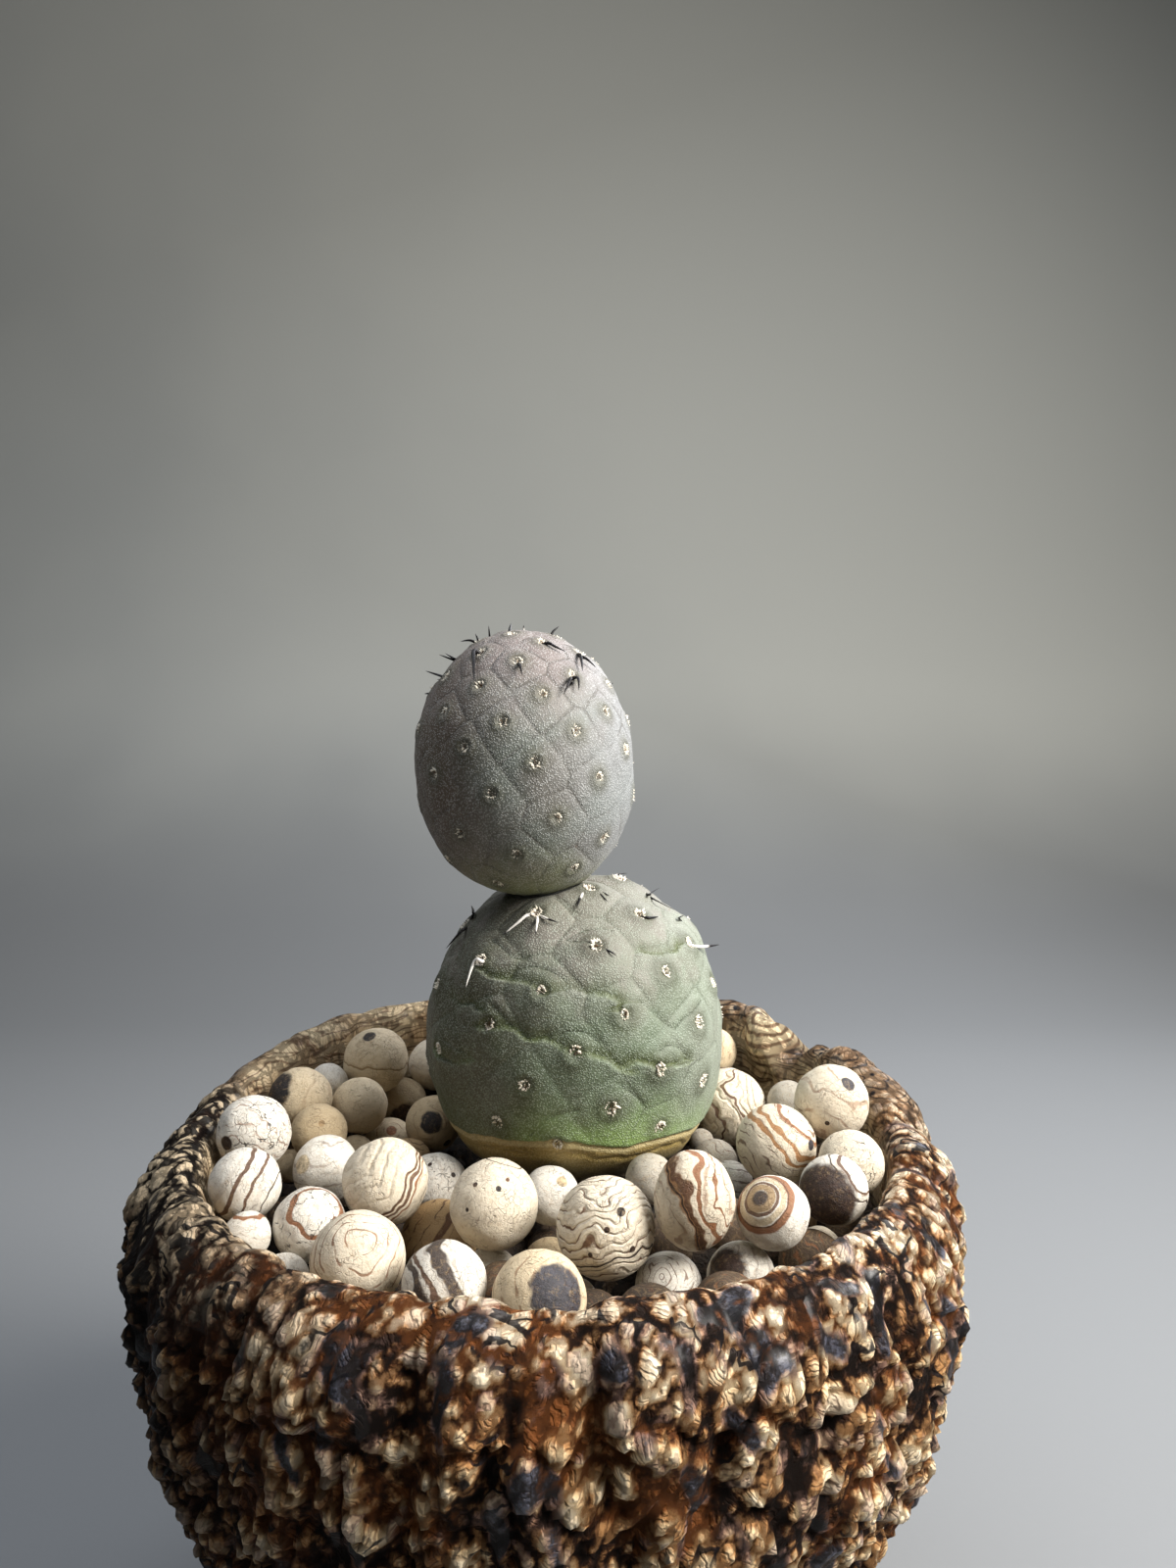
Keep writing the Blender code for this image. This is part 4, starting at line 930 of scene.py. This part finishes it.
def areolePlaces(segment):        # on a spiral, and where the photograph shows one, right there
    rule, places = segment["areoles"], []
    for k in range(rule["first"], rule["last"] + 1):
        if k in segment["spots"]:
            spot = onStem(segment, segment["spots"][k], segment["relief"]["swell"])
            share = (spot[2] - segment["bottom"]) / segment["height"]
            turn = math.atan2(spot[0] - segment["x"] - segment["lean"] * (spot[2] - segment["bottom"]),
                              segment["y"] - spot[1])
        else:
            level = rule["level"] + rule["rise"] * k + rule["bend"] * k * k
            share = (level - segment["bottom"]) / segment["height"]
            degrees = rule["phase"] - rule["turn"] * k
            turn = math.radians(degrees - rule["pull"] * math.sin(math.radians(degrees)))
        places.append((k, share, turn))
    return places


def nearLine(points, line):        # distance to a line of points, height over it, and how far past its ends
    best = np.full(len(points), 1e9)
    over, past = np.zeros(len(points)), np.zeros(len(points))
    for number, (start, end) in enumerate(zip(line, line[1:])):
        way = end - start
        t = ((points - start) @ way) / (way @ way)
        beyond = np.zeros(len(points))
        if number == 0:
            beyond = np.maximum(-t, 0)
        if number == len(line) - 2:
            beyond = np.maximum(beyond, t - 1)
        t = np.clip(t, 0, 1)
        foot_ = start + t[:, None] * way
        away = np.linalg.norm(points - foot_, axis=1)
        closer = away < best
        best = np.where(closer, away, best)
        over = np.where(closer, points[:, 2] - foot_[:, 2], over)
        past = np.where(closer, beyond * np.linalg.norm(way), past)
    return best, over, past


def wander(points, scale, seed):
    return np.array([noise.noise(Vector(p) * scale + Vector((seed, 2 * seed, 3 * seed))) for p in points.tolist()])


def areoleDistances(segment, points):        # to the tubercles' borders and to the areoles themselves
    centres = [stemPoint(segment, s, t) for _, s, t in areolePlaces(segment)]
    nearest, second, pit = (np.full(len(points), 1e9) for _ in range(3))
    for centre in centres:
        gap = points - centre
        pit = np.minimum(pit, np.linalg.norm(gap, axis=1))
        gap[:, 2] += 0.9        # a tubercle reaches further below its areole than above it
        away = np.linalg.norm(gap, axis=1)
        second = np.minimum(second, np.maximum(nearest, away))
        nearest = np.minimum(nearest, away)
    return nearest, second - nearest, pit


def foldRelief(segment, points, turn, quick):        # folds, wrinkles and the corky foot of the lower segment
    count = len(points)
    raised, fold, strength = np.zeros(count), np.full(count, 9.0), np.zeros(count)
    for line in folds:
        away, over, past = nearLine(points, np.array([onStem(segment, p) for p in line]))
        strong = np.clip(0.8 + 0.9 * wander(points, 0.23, 7.0), 0.35, 1) * np.exp(-(past / 1.4) ** 2)
        over = np.where(over >= 0, away, -away) + 0.3 * quick
        ledge = np.where(over > 0, 0.55 * np.exp(-over / 5) - 0.95 * np.exp(-over / 1.5), 0.3 * np.exp(over / 2))
        raised += ledge * strong * np.exp(-(away / 8) ** 2)
        nearer = (np.abs(over) < np.abs(fold)) & (strong > 0.05)
        fold = np.where(nearer, over, fold)
        strength = np.where(nearer, strong, strength)
    wrinkle = np.full(count, 9.0)
    for line in wrinkles:
        away, _, past = nearLine(points, np.array([onStem(segment, p) for p in line]))
        wrinkle = np.minimum(wrinkle, away + 0.4 * past)
    raised -= 0.2 * np.exp(-(wrinkle / 0.4) ** 2)
    spots = np.array([onStem(segment, p) for p in foot])
    angles = np.arctan2(spots[:, 0] - segment["x"], segment["y"] - spots[:, 1])
    wrapped = np.arctan2(np.sin(turn), np.cos(turn))
    beyond = smoothStep(0, 0.5, np.maximum(wrapped - angles[-1], angles[0] - wrapped))
    level = np.interp(wrapped, angles, spots[:, 2]) + beyond * 0.8 * np.sin(3 * wrapped + 1.1)
    cork = np.clip(level - points[:, 2] + 0.25 * quick, -9, 9)
    raised += np.where(cork < 0, 0.2 * np.exp(cork / 1.8), 0.05) - 0.3 * np.exp(-((cork - 0.1) / 0.3) ** 2)
    raised -= 0.28 * np.exp(-((cork - 1.9 - 0.8 * quick) / 0.35) ** 2) * smoothStep(0, 1, cork)
    return raised, {"fold": fold, "strength": strength, "wrinkle": wrinkle, "cork": cork}


def skinRelief(segment, points, turn):        # how far the skin stands out of the plain form, and what colours it
    nearest, edge, pit = areoleDistances(segment, points)
    slow, quick = wander(points, 0.11, 1.0), wander(points, 0.45, 4.0)
    shape = segment["relief"]
    lively = shape["calm"] + (1 - shape["calm"]) * smoothStep(0.2, 0.62, (points[:, 2] - segment["bottom"]) / segment["height"])
    raised = shape["swell"] * np.exp(-(nearest / shape["reach"]) ** 2) * lively
    raised += shape["slow"] * slow + shape["quick"] * quick - shape["net"] * np.exp(-(edge / 1.0) ** 2) * lively
    size = shape["areole"]
    raised -= 0.34 * np.exp(-(pit / (0.8 * size)) ** 2)
    raised += 0.16 * np.exp(-((pit - 1.35 * size) / (0.5 * size)) ** 2)
    stored = {"edge": edge, "pit": pit}
    if segment is lower:
        more, extra = foldRelief(segment, points, turn, quick)
        raised += more
        stored.update(extra)
    return raised, stored


def buildSegment(segment, material):
    rows, columns = segment["rows"], segment["columns"]
    shares = 0.5 - 0.5 * np.cos(math.pi * np.arange(rows + 1) / rows)
    shares = shares[(0 if segment["root"] else 1):-1]
    turns = 2 * math.pi * np.arange(columns) / columns
    share, turn = np.repeat(shares, columns), np.tile(turns, len(shares))
    points = stemPoint(segment, share, turn)
    raised, stored = skinRelief(segment, points, turn)
    points = points + stemNormal(segment, share, turn) * raised[:, None]
    if segment is lower:
        points = clearOfUpper(points, 0.3)
    points = points.tolist()
    faces = gridFaces(len(shares), columns)
    for radius, drop in segment["root"]:
        points += [(segment["x"] + radius * math.sin(t), segment["y"] - radius * math.cos(t), segment["bottom"] + drop)
                   for t in turns]
    start = len(shares) * columns
    order = [0] + [start + i * columns for i in range(len(segment["root"]))]
    for a, b in zip(order, order[1:]):
        faces += [(b + i, b + (i + 1) % columns, a + (i + 1) % columns, a + i) for i in range(columns)]
    lowest = segment["bottom"] + (segment["root"][-1][1] if segment["root"] else 0)
    crown = (len(shares) - 1) * columns
    peak = np.array(points[crown:crown + columns])
    points += [(segment["x"], segment["y"], lowest), tuple(peak.mean(axis=0) + (0, 0, 0.01))]
    end, top = len(points) - 2, len(points) - 1
    for i in range(columns):
        j = (i + 1) % columns
        faces.append((order[-1] + j, order[-1] + i, end))
        faces.append((crown + i, crown + j, top))
    for label in stored:
        fill = 0 if label in ("strength", "cork") else 9
        stored[label] = np.concatenate([stored[label], np.full(len(points) - len(stored[label]), fill)])
    piece = meshPiece(segment["name"] + "_skin", points, faces, material, stored)
    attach(piece, "root")
    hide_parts(segment["name"])
    print(segment["name"], len(faces), "faces")


def clearOfUpper(points, margin):        # the lower segment is dented where the upper one sits
    for _ in range(60):
        share = (points[:, 2] - upper["bottom"] + margin) / upper["height"]
        away = np.hypot(points[:, 0] - upper["x"] - upper["lean"] * (points[:, 2] - upper["bottom"]),
                        points[:, 1] - upper["y"])
        inside = (share > 0) & (away <= stemProfile(upper, np.clip(share, 0, 1)) + margin)
        points[:, 2] = np.where(inside, points[:, 2] - 0.1, points[:, 2])
    return points


def skinPaint(segment, looks):
    paint = Paint(segment["name"] + "_velvet", Sheen_Weight=0.06, Sheen_Roughness=0.4)
    at = paint.place()
    edge, pit = paint.stored("edge"), paint.stored("pit")
    height = paint.node("SeparateXYZ", None, {0: at}, out=2)
    across = paint.node("SeparateXYZ", None, {0: at}, out=0)
    level = (height - segment["bottom"]) / segment["height"]
    side = (across - segment["x"]) / segment["radius"]
    cloud = paint.noise(at, 0.09, 3)
    patch = paint.noise(at, 0.22, 3)
    colour = paint.mix(paint.rise(cloud, 0.38, 0.62), tint(*looks["middle"]), tint(*looks["other"]))
    # tints by place: the top's and the lower segment's bottom hues are the skin's own; the left tint is painted shade,
    # the right tint painted light from the lit side, and on the upper segment the low tint is painted light thrown up
    # from the lower segment
    for label, place, share in (("top", level + 0.3 * (patch - 0.5), 0.9), ("low", level + 0.22 * (cloud - 0.5), 0.9),
                                ("left", side + 0.35 * (patch - 0.5), 0.8), ("right", side + 0.4 * (cloud - 0.5), 0.7)):
        colour = paint.mix(paint.rise(place, *looks[label + "Run"]) * share, colour, tint(*looks[label]))
    blush = paint.rise(paint.noise(at, 0.16, 3), 0.48, 0.64) * (0.06 + 0.42 * paint.rise(level, 0.45, 0.9))
    colour = paint.mix(blush, colour, tint(*looks["blush"]))
    # a darker ring round each areole: partly the skin's tone, partly painted shade of its dimple
    halo = 1 - paint.rise(pit + 1.4 * (patch - 0.5), 0.7, looks["halo"])
    colour = paint.mix(halo * looks["haloShare"], colour, tint(*looks["haloColour"]))
    broken = paint.rise(paint.noise(at, 0.17, 2), 0.38, 0.54)
    net = (1 - paint.rise(edge + 0.3 * (patch - 0.5), 0.1, 0.62)) * broken
    lines, skin = net * looks["net"], 1
    if segment is lower:
        drawn = 1 - paint.rise(paint.stored("wrinkle") + 0.12 * (patch - 0.5), 0.05, 0.22)
        lines = paint.math("MAXIMUM", lines, drawn * 0.75)
    colour = paint.mix(lines, colour, tint(*looks["netColour"]))
    if segment is lower:
        fold, strength, cork = paint.stored("fold"), paint.stored("strength"), paint.stored("cork")
        # painted shade above each fold, and a greener line at it that is partly the tissue's tone and partly a painted
        # highlight
        above = paint.rise(fold, 0.0, 0.12) * (1 - paint.rise(fold, 0.2, 2.6)) * strength
        colour = paint.mix(above * 0.75, colour, tint(*looks["foldShade"]))
        glow = paint.rise(fold, -0.5, -0.1) * (1 - paint.rise(fold, 0.2, 0.6)) * strength
        colour = paint.mix(glow * paint.rise(patch, 0.38, 0.6) * 0.3, colour, tint(*looks["foldGlow"]))
        # painted shade: a thin dark line in the crease itself
        crease = (1 - paint.rise(abs(fold - 0.12), 0.05, 0.36)) * strength
        colour = paint.mix(crease * (0.25 + 0.5 * paint.rise(cloud, 0.4, 0.6)), colour, tint(38, 42, 14))
        lit = paint.rise(fold, -1.8, -0.3) * (1 - paint.rise(fold, -0.25, 0.0)) * strength
        colour = paint.mix(lit * 0.2, colour, tint(*looks["right"]))
        bark = paint.mix(paint.noise(paint.vector("MULTIPLY", at, (0.6, 0.6, 2.2)), 0.35, 4, 0.6), tint(112, 92, 44),
                         tint(182, 158, 92))
        bark = paint.mix(paint.rise(cork, 1.2, 5.5) * 0.75, bark, tint(74, 66, 34))
        bark = paint.mix((1 - paint.rise(abs(cork - 0.5), 0.15, 0.6)) * 0.6, bark, tint(204, 190, 146))
        colour = paint.mix(paint.rise(cork, -0.12, 0.12), colour, bark)
        skin = 1 - paint.rise(cork, -0.1, 0.1)
    pebble = paint.cells(paint.warped(at, 2.2, 0.12), 3.7)
    fleck = 1 - paint.rise(pebble, 0.08, 0.6)
    share = fleck * (0.25 + 0.75 * skin) * (1 - 0.4 * halo) * (0.45 + paint.rise(paint.noise(at, 0.9, 3), 0.3, 0.7))
    colour = paint.mix(share * looks["flecks"], colour, tint(*looks["speck"]))
    colour = paint.mix(paint.rise(pebble, 0.35, 0.8) * 0.26, colour, tint(*looks["haloColour"]))
    spot = (1 - paint.rise(paint.cells(at, 0.2), 0.03, 0.06)) * paint.rise(cloud, 0.48, 0.56)
    colour = paint.mix(spot * 0.6, colour, tint(*looks["speckle"]))
    relief = fleck * 0.55 - lines * 0.7 + 0.25 * paint.noise(at, 1.2, 2)
    return paint.finish(colour, 0.6, relief, 0.13)


# left is painted shade and right painted light; the upper segment's low tint is painted reflected light
upperLooks = {"middle": (114, 121, 115), "other": (116, 114, 110), "top": (132, 120, 119), "topRun": (0.55, 0.95),
              "low": (132, 136, 88), "lowRun": (0.26, 0.02), "left": (86, 66, 46), "leftRun": (-0.08, -0.8),
              "right": (144, 148, 153), "rightRun": (0.2, 0.9), "blush": (112, 101, 101), "halo": 2.9,
              "haloColour": (78, 78, 62), "haloShare": 0.68, "net": 0.56, "netColour": (66, 60, 56),
              "speck": (222, 226, 224), "flecks": 0.34, "speckle": (108, 84, 68)}
lowerLooks = {"middle": (102, 117, 96), "other": (118, 126, 112), "top": (132, 129, 120), "topRun": (0.5, 1.0),
              "low": (142, 174, 90), "lowRun": (0.4, 0.1), "left": (52, 44, 18), "leftRun": (0.0, -0.78),
              "right": (148, 157, 144), "rightRun": (0.3, 1.0), "blush": (140, 131, 127), "halo": 3.7,
              "haloColour": (56, 58, 34), "haloShare": 0.6, "net": 0.36, "netColour": (54, 64, 42),
              "speck": (196, 208, 194), "flecks": 0.34, "speckle": (120, 92, 66), "foldShade": (66, 76, 28),
              "foldGlow": (132, 150, 70)}


# Areoles: a ring of woolly tufts round a brown pit, and the spines that the photograph shows

tuft = {"tufts": 20, "lowerSize": 1.0, "upperSize": 0.88, "thick": 0.28, "long": 0.7, "pitHairs": 10}


def coneParts(root, tip, radius, sides=4):
    axis = tip - root
    side = np.cross(axis, (0.31, 0.52, 0.79))
    side /= np.linalg.norm(side)
    other = np.cross(axis / np.linalg.norm(axis), side)
    ring = [root + radius * (side * math.cos(2 * math.pi * i / sides) + other * math.sin(2 * math.pi * i / sides))
            for i in range(sides)]
    faces = [tuple(reversed(range(sides)))] + [(i, (i + 1) % sides, sides) for i in range(sides)]
    return ring + [tip], faces


def areoleLifts(segment):        # where the skin really is at each areole, over the plain form
    number, share, turn = (np.array(values) for values in zip(*areolePlaces(segment)))
    raised, _ = skinRelief(segment, stemPoint(segment, share, turn), turn)
    return dict(zip(number.tolist(), raised.tolist()))


def stemAxes(segment, share, turn, lift):
    normal = stemNormal(segment, share, turn)
    centre = stemPoint(segment, share, turn) + normal * lift
    right = np.array((math.cos(turn), math.sin(turn), 0))
    up = np.cross(normal, right)
    up = up / np.linalg.norm(up) * (1 if up[2] >= 0 or abs(up[2]) < 1e-6 else -1)
    return centre, normal, right, up


def underUpper(point, margin):        # closer than the margin to the upper segment
    rise = point[2] - upper["bottom"]
    away = math.hypot(point[0] - upper["x"] - upper["lean"] * rise, point[1] - upper["y"])
    share = min(max((rise + margin) / upper["height"], 0), 1)
    return rise > -margin and away < float(stemProfile(upper, share)) + margin


def buildAreoles(segment, label, size):
    draw = random.Random(31 if segment is lower else 47)
    points, faces, dark = [], [], []
    lifts = areoleLifts(segment)
    for k, share, turn in areolePlaces(segment):
        centre, normal, right, up = stemAxes(segment, share, turn, lifts[k])
        if segment is lower and underUpper(centre, 1.1):
            continue
        grown = size * draw.uniform(0.82, 1.1)
        heavy, wide = draw.uniform(0, 2 * math.pi), draw.uniform(0.72, 0.95)
        for i in range(tuft["tufts"]):
            around = 2 * math.pi * (i + draw.uniform(-0.5, 0.5)) / tuft["tufts"]
            full = 1 + 0.28 * math.cos(around - heavy)
            way = right * math.cos(around) * wide + up * math.sin(around)
            root = centre + way * grown * draw.uniform(0.58, 0.92)
            lean = way * draw.uniform(-0.15, 0.6) + normal * 0.8 + right * draw.uniform(-0.2, 0.2)
            tip = root + lean / np.linalg.norm(lean) * tuft["long"] * draw.uniform(0.5, 1.1) * grown * full
            ring, cone = coneParts(root, tip, tuft["thick"] * grown * draw.uniform(0.55, 1.15) * full)
            faces += [tuple(len(points) + n for n in face) for face in cone]
            points += ring
            dark += [draw.choice((0, 0, 0, 0, 0.35))] * len(ring)
        for i in range(tuft["pitHairs"]):
            around = draw.uniform(0, 2 * math.pi)
            way = (right * math.cos(around) * 0.8 + up * math.sin(around)) * grown * draw.uniform(0, 0.5)
            tip = centre + way * 1.2 + normal * draw.uniform(0.3, 0.6) * grown
            ring, cone = coneParts(centre + way - normal * 0.1, tip, 0.11 * grown)
            faces += [tuple(len(points) + n for n in face) for face in cone]
            points += ring
            dark += [1.0 if draw.random() < 0.7 else 0.2] * len(ring)
    paint = Paint(label + "_wool", Sheen_Weight=0.3)
    at = paint.place()
    shade = paint.stored("dark")
    wool = paint.mix(paint.noise(at, 1.6, 2), tint(230, 218, 190), tint(255, 253, 246))
    brown = paint.mix(paint.noise(at, 2.5, 2), tint(74, 52, 34), tint(132, 96, 60))
    material = paint.finish(paint.mix(shade, wool, brown), 0.8, paint.noise(at, 6, 2), 0.05)
    piece = meshPiece(label + "_areoles", points, faces, material, {"dark": dark})
    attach(piece, "root")
    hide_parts(segment["name"])
    print(label, "areoles", len(faces), "faces")


# Spines as (areole, how far off the skin, how much of it is white, thickness) and the spots of the photograph that
# each passes after its root
lowerSpines = (
    (22, 1.3, 0.84, 1.0, (538, 934), (529, 941), (513, 954)), (22, 1.2, 0.84, 1.0, (548, 941), (546.5, 954)),
    (22, 1.2, 0.62, 1.0, (557, 937), (570, 941.5)), (22, 0.8, 0.0, 0.6, (542, 934), (540, 928)),
    (29, 1.3, 0.6, 1.0, (597.5, 908), (592, 917), (588, 928)), (29, 1.0, 0.5, 0.8, (611, 911.5), (620, 920)),
    (29, 1.0, 0.9, 0.7, (609, 909), (614, 911)), (29, 1.3, 0.0, 0.9, (606, 907.5), (622, 914)),
    (28, 0.9, 0.62, 1.0, (623, 896), (632, 892), (640, 891)), (28, 0.8, 0.0, 1.0, (621, 896.5), (643, 903.5)),
    (25, 0.9, 0.0, 0.9, (662, 936.5), (672, 935.5)), (25, 0.8, 0.1, 0.8, (647, 935)),
    (24, 0.9, 0.0, 0.9, (662, 913), (665, 910.5), (673, 906)), (24, 0.7, 0.0, 0.9, (668, 918), (688, 928.5)),
    (21, 0.9, 0.5, 1.0, (716, 966), (734, 964)), (18, 0.8, 0.0, 0.8, (623, 971), (629, 975.5)),
    (15, 1.5, 0.96, 1.1, (490, 980.5), (486, 979), (481.5, 987), (475, 1008)),
    (19, 0.8, 0.0, 1.0, (483, 932), (481, 924)), (19, 0.9, 0.0, 1.0, (470, 951), (455, 968)),
    (17, 0.6, 0.1, 0.7, (693, 937), (698, 934)))
upperSpines = (
    (40, 0.8, 0.0, 1.0, (520, 645), (521.5, 636)), (33, 1.2, 0.0, 1.25, (484, 664), (483.5, 675), (483.5, 694)),
    (37, 0.8, 0.0, 0.9, (487.5, 652), (485, 646.5)), (37, 0.7, 1.0, 0.9, (495.5, 653)),
    (37, 0.8, 0.1, 0.9, (480.5, 653.5), (470, 654.5)), (29, 1.0, 0.0, 1.0, (530.5, 679), (532.8, 689)),
    (36, 1.0, 0.0, 1.0, (559, 656.2), (567, 660), (577, 664.8)), (39, 0.8, 0.0, 0.9, (563, 646.5), (570.5, 639)),
    (39, 0.6, 0.0, 0.8, (567, 651)), (32, 1.1, 0.0, 1.1, (592.5, 669), (594.5, 685)),
    (32, 1.0, 0.1, 1.1, (598, 672), (608.5, 681.5)), (25, 1.1, 0.0, 1.1, (582, 694), (575, 708.5)),
    (25, 1.0, 0.0, 1.0, (589.8, 692), (590.8, 704.5)), (25, 0.8, 0.0, 0.8, (584.5, 699.5)),
    (21, 0.6, 0.0, 0.9, (625.5, 697)), (30, 0.6, 0.0, 0.8, (448, 668)), (30, 0.6, 0.2, 0.7, (454, 666.5)),
    (26, 0.6, 0.0, 0.8, (434, 684.5)), (19, 0.5, 0.1, 0.8, (433, 708)), (41, 0.5, 0.0, 0.6, (529, 643.5)))
spine = {"radius": 0.27, "sides": 7, "step": 0.4, "lowerAbove": 106, "upperAbove": 146, "lowerBare": (23, 27),
         "upperBare": (28, 35)}


def offSkin(segment, pixels, out):        # spots of the photograph as points so far off the raised skin
    spots = np.array([onStem(segment, pixel) for pixel in pixels])
    rise = spots[:, 2] - segment["bottom"]
    turn = np.arctan2(spots[:, 0] - segment["x"] - segment["lean"] * rise, segment["y"] - spots[:, 1])
    share = np.clip(rise / segment["height"], 0.01, 0.99)
    raised, _ = skinRelief(segment, stemPoint(segment, share, turn), turn)
    return [onStem(segment, pixel, max(lift, 0) + out) for pixel, lift in zip(pixels, raised)]


def bentSpine(spots, radius):
    curve = np.array(rounded([tuple(spot) for spot in spots], spine["step"]))
    ways = np.gradient(curve, axis=0)
    ways /= np.linalg.norm(ways, axis=1)[:, None]
    count, points = len(curve), []
    for i, (middle, axis) in enumerate(zip(curve, ways)):
        side = np.cross(axis, (0.31, 0.52, 0.79))
        side /= np.linalg.norm(side)
        other = np.cross(axis, side)
        wide = radius * (1 - 0.95 * (i / (count - 1)) ** 2.2)
        points += [middle + wide * (side * math.cos(2 * math.pi * s / spine["sides"])
                                    + other * math.sin(2 * math.pi * s / spine["sides"]))
                   for s in range(spine["sides"])]
    points += [curve[0], curve[-1]]
    faces = gridFaces(count, spine["sides"])
    last = (count - 1) * spine["sides"]
    for i in range(spine["sides"]):
        j = (i + 1) % spine["sides"]
        faces += [(j, i, len(points) - 2), (last + i, last + j, len(points) - 1)]
    along = [i / (count - 1) for i in range(count) for _ in range(spine["sides"])] + [0, 1]
    return points, faces, along


def buildSpines(segment, label, shown):
    draw = random.Random(61 if segment is lower else 73)
    points, faces, tipShare, white = [], [], [], []

    def add(path, radius, pale):
        spots, parts, along = bentSpine(path, radius)
        faces.extend(tuple(len(points) + n for n in face) for face in parts)
        points.extend(spots)
        tipShare.extend(along)
        white.extend([pale] * len(spots))

    lifts = areoleLifts(segment)
    places = {k: (share, turn, lifts[k]) for k, share, turn in areolePlaces(segment)}
    seen = set(spine[label + "Bare"])
    for k, out, pale, thick, *pixels in shown:
        centre, normal, _, _ = stemAxes(segment, *places[k])
        add([centre - normal * 0.4, *offSkin(segment, pixels, out)], spine["radius"] * thick, pale)
        seen.add(k)
    above = spine["lowerAbove"] if segment is lower else spine["upperAbove"]
    for k, place in places.items():
        centre, normal, right, up = stemAxes(segment, *place)
        facing = normal @ (eye - centre) > 0
        if k in seen or centre[2] < above or facing:
            continue
        for _ in range(draw.choice((1, 2, 2, 3))):
            around = draw.uniform(0, 2 * math.pi)
            tilted = math.radians(draw.uniform(40, 65))
            aim = normal * math.cos(tilted) + (up * math.cos(around) + right * math.sin(around)) * math.sin(tilted)
            tip = centre + aim * draw.uniform(2.4, 4.6)
            if segment is lower and (underUpper(centre, 2.2) or underUpper(tip, 1.2)):
                continue
            knee = centre + aim * 1.4 + normal * draw.uniform(0.1, 0.4)
            add([centre - aim * 0.4, knee, tip], spine["radius"] * draw.uniform(0.7, 1), draw.choice((0, 0, 0.5, 0.8)))
    paint = Paint(label + "_horn", Specular_IOR_Level=0.3)
    at = paint.place()
    along, pale = paint.stored("along"), paint.stored("white")
    horn = paint.mix(paint.rise(paint.noise(at, 1.5, 2), 0.5, 0.8), tint(12, 9, 12), tint(46, 42, 52))
    bone = paint.mix(paint.noise(at, 1.5, 2), tint(216, 212, 206), tint(250, 248, 244))
    share = 1 - paint.rise(along - pale, -0.06, 0.06)
    material = paint.finish(paint.mix(share, horn, bone), 0.42, paint.noise(at, 5, 2), 0.03)
    piece = meshPiece(label + "_spines", points, faces, material, {"along": tipShare, "white": white})
    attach(piece, "root")
    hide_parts(segment["name"])
    print(label, "spines", len(faces), "faces")


placeCamera()
buildStudio()
buildPot()
buildBalls()
buildSoil()
buildSegment(lower, skinPaint(lower, lowerLooks))
buildSegment(upper, skinPaint(upper, upperLooks))
buildAreoles(lower, "lower", tuft["lowerSize"])
buildAreoles(upper, "upper", tuft["upperSize"])
buildSpines(lower, "lower", lowerSpines)
buildSpines(upper, "upper", upperSpines)
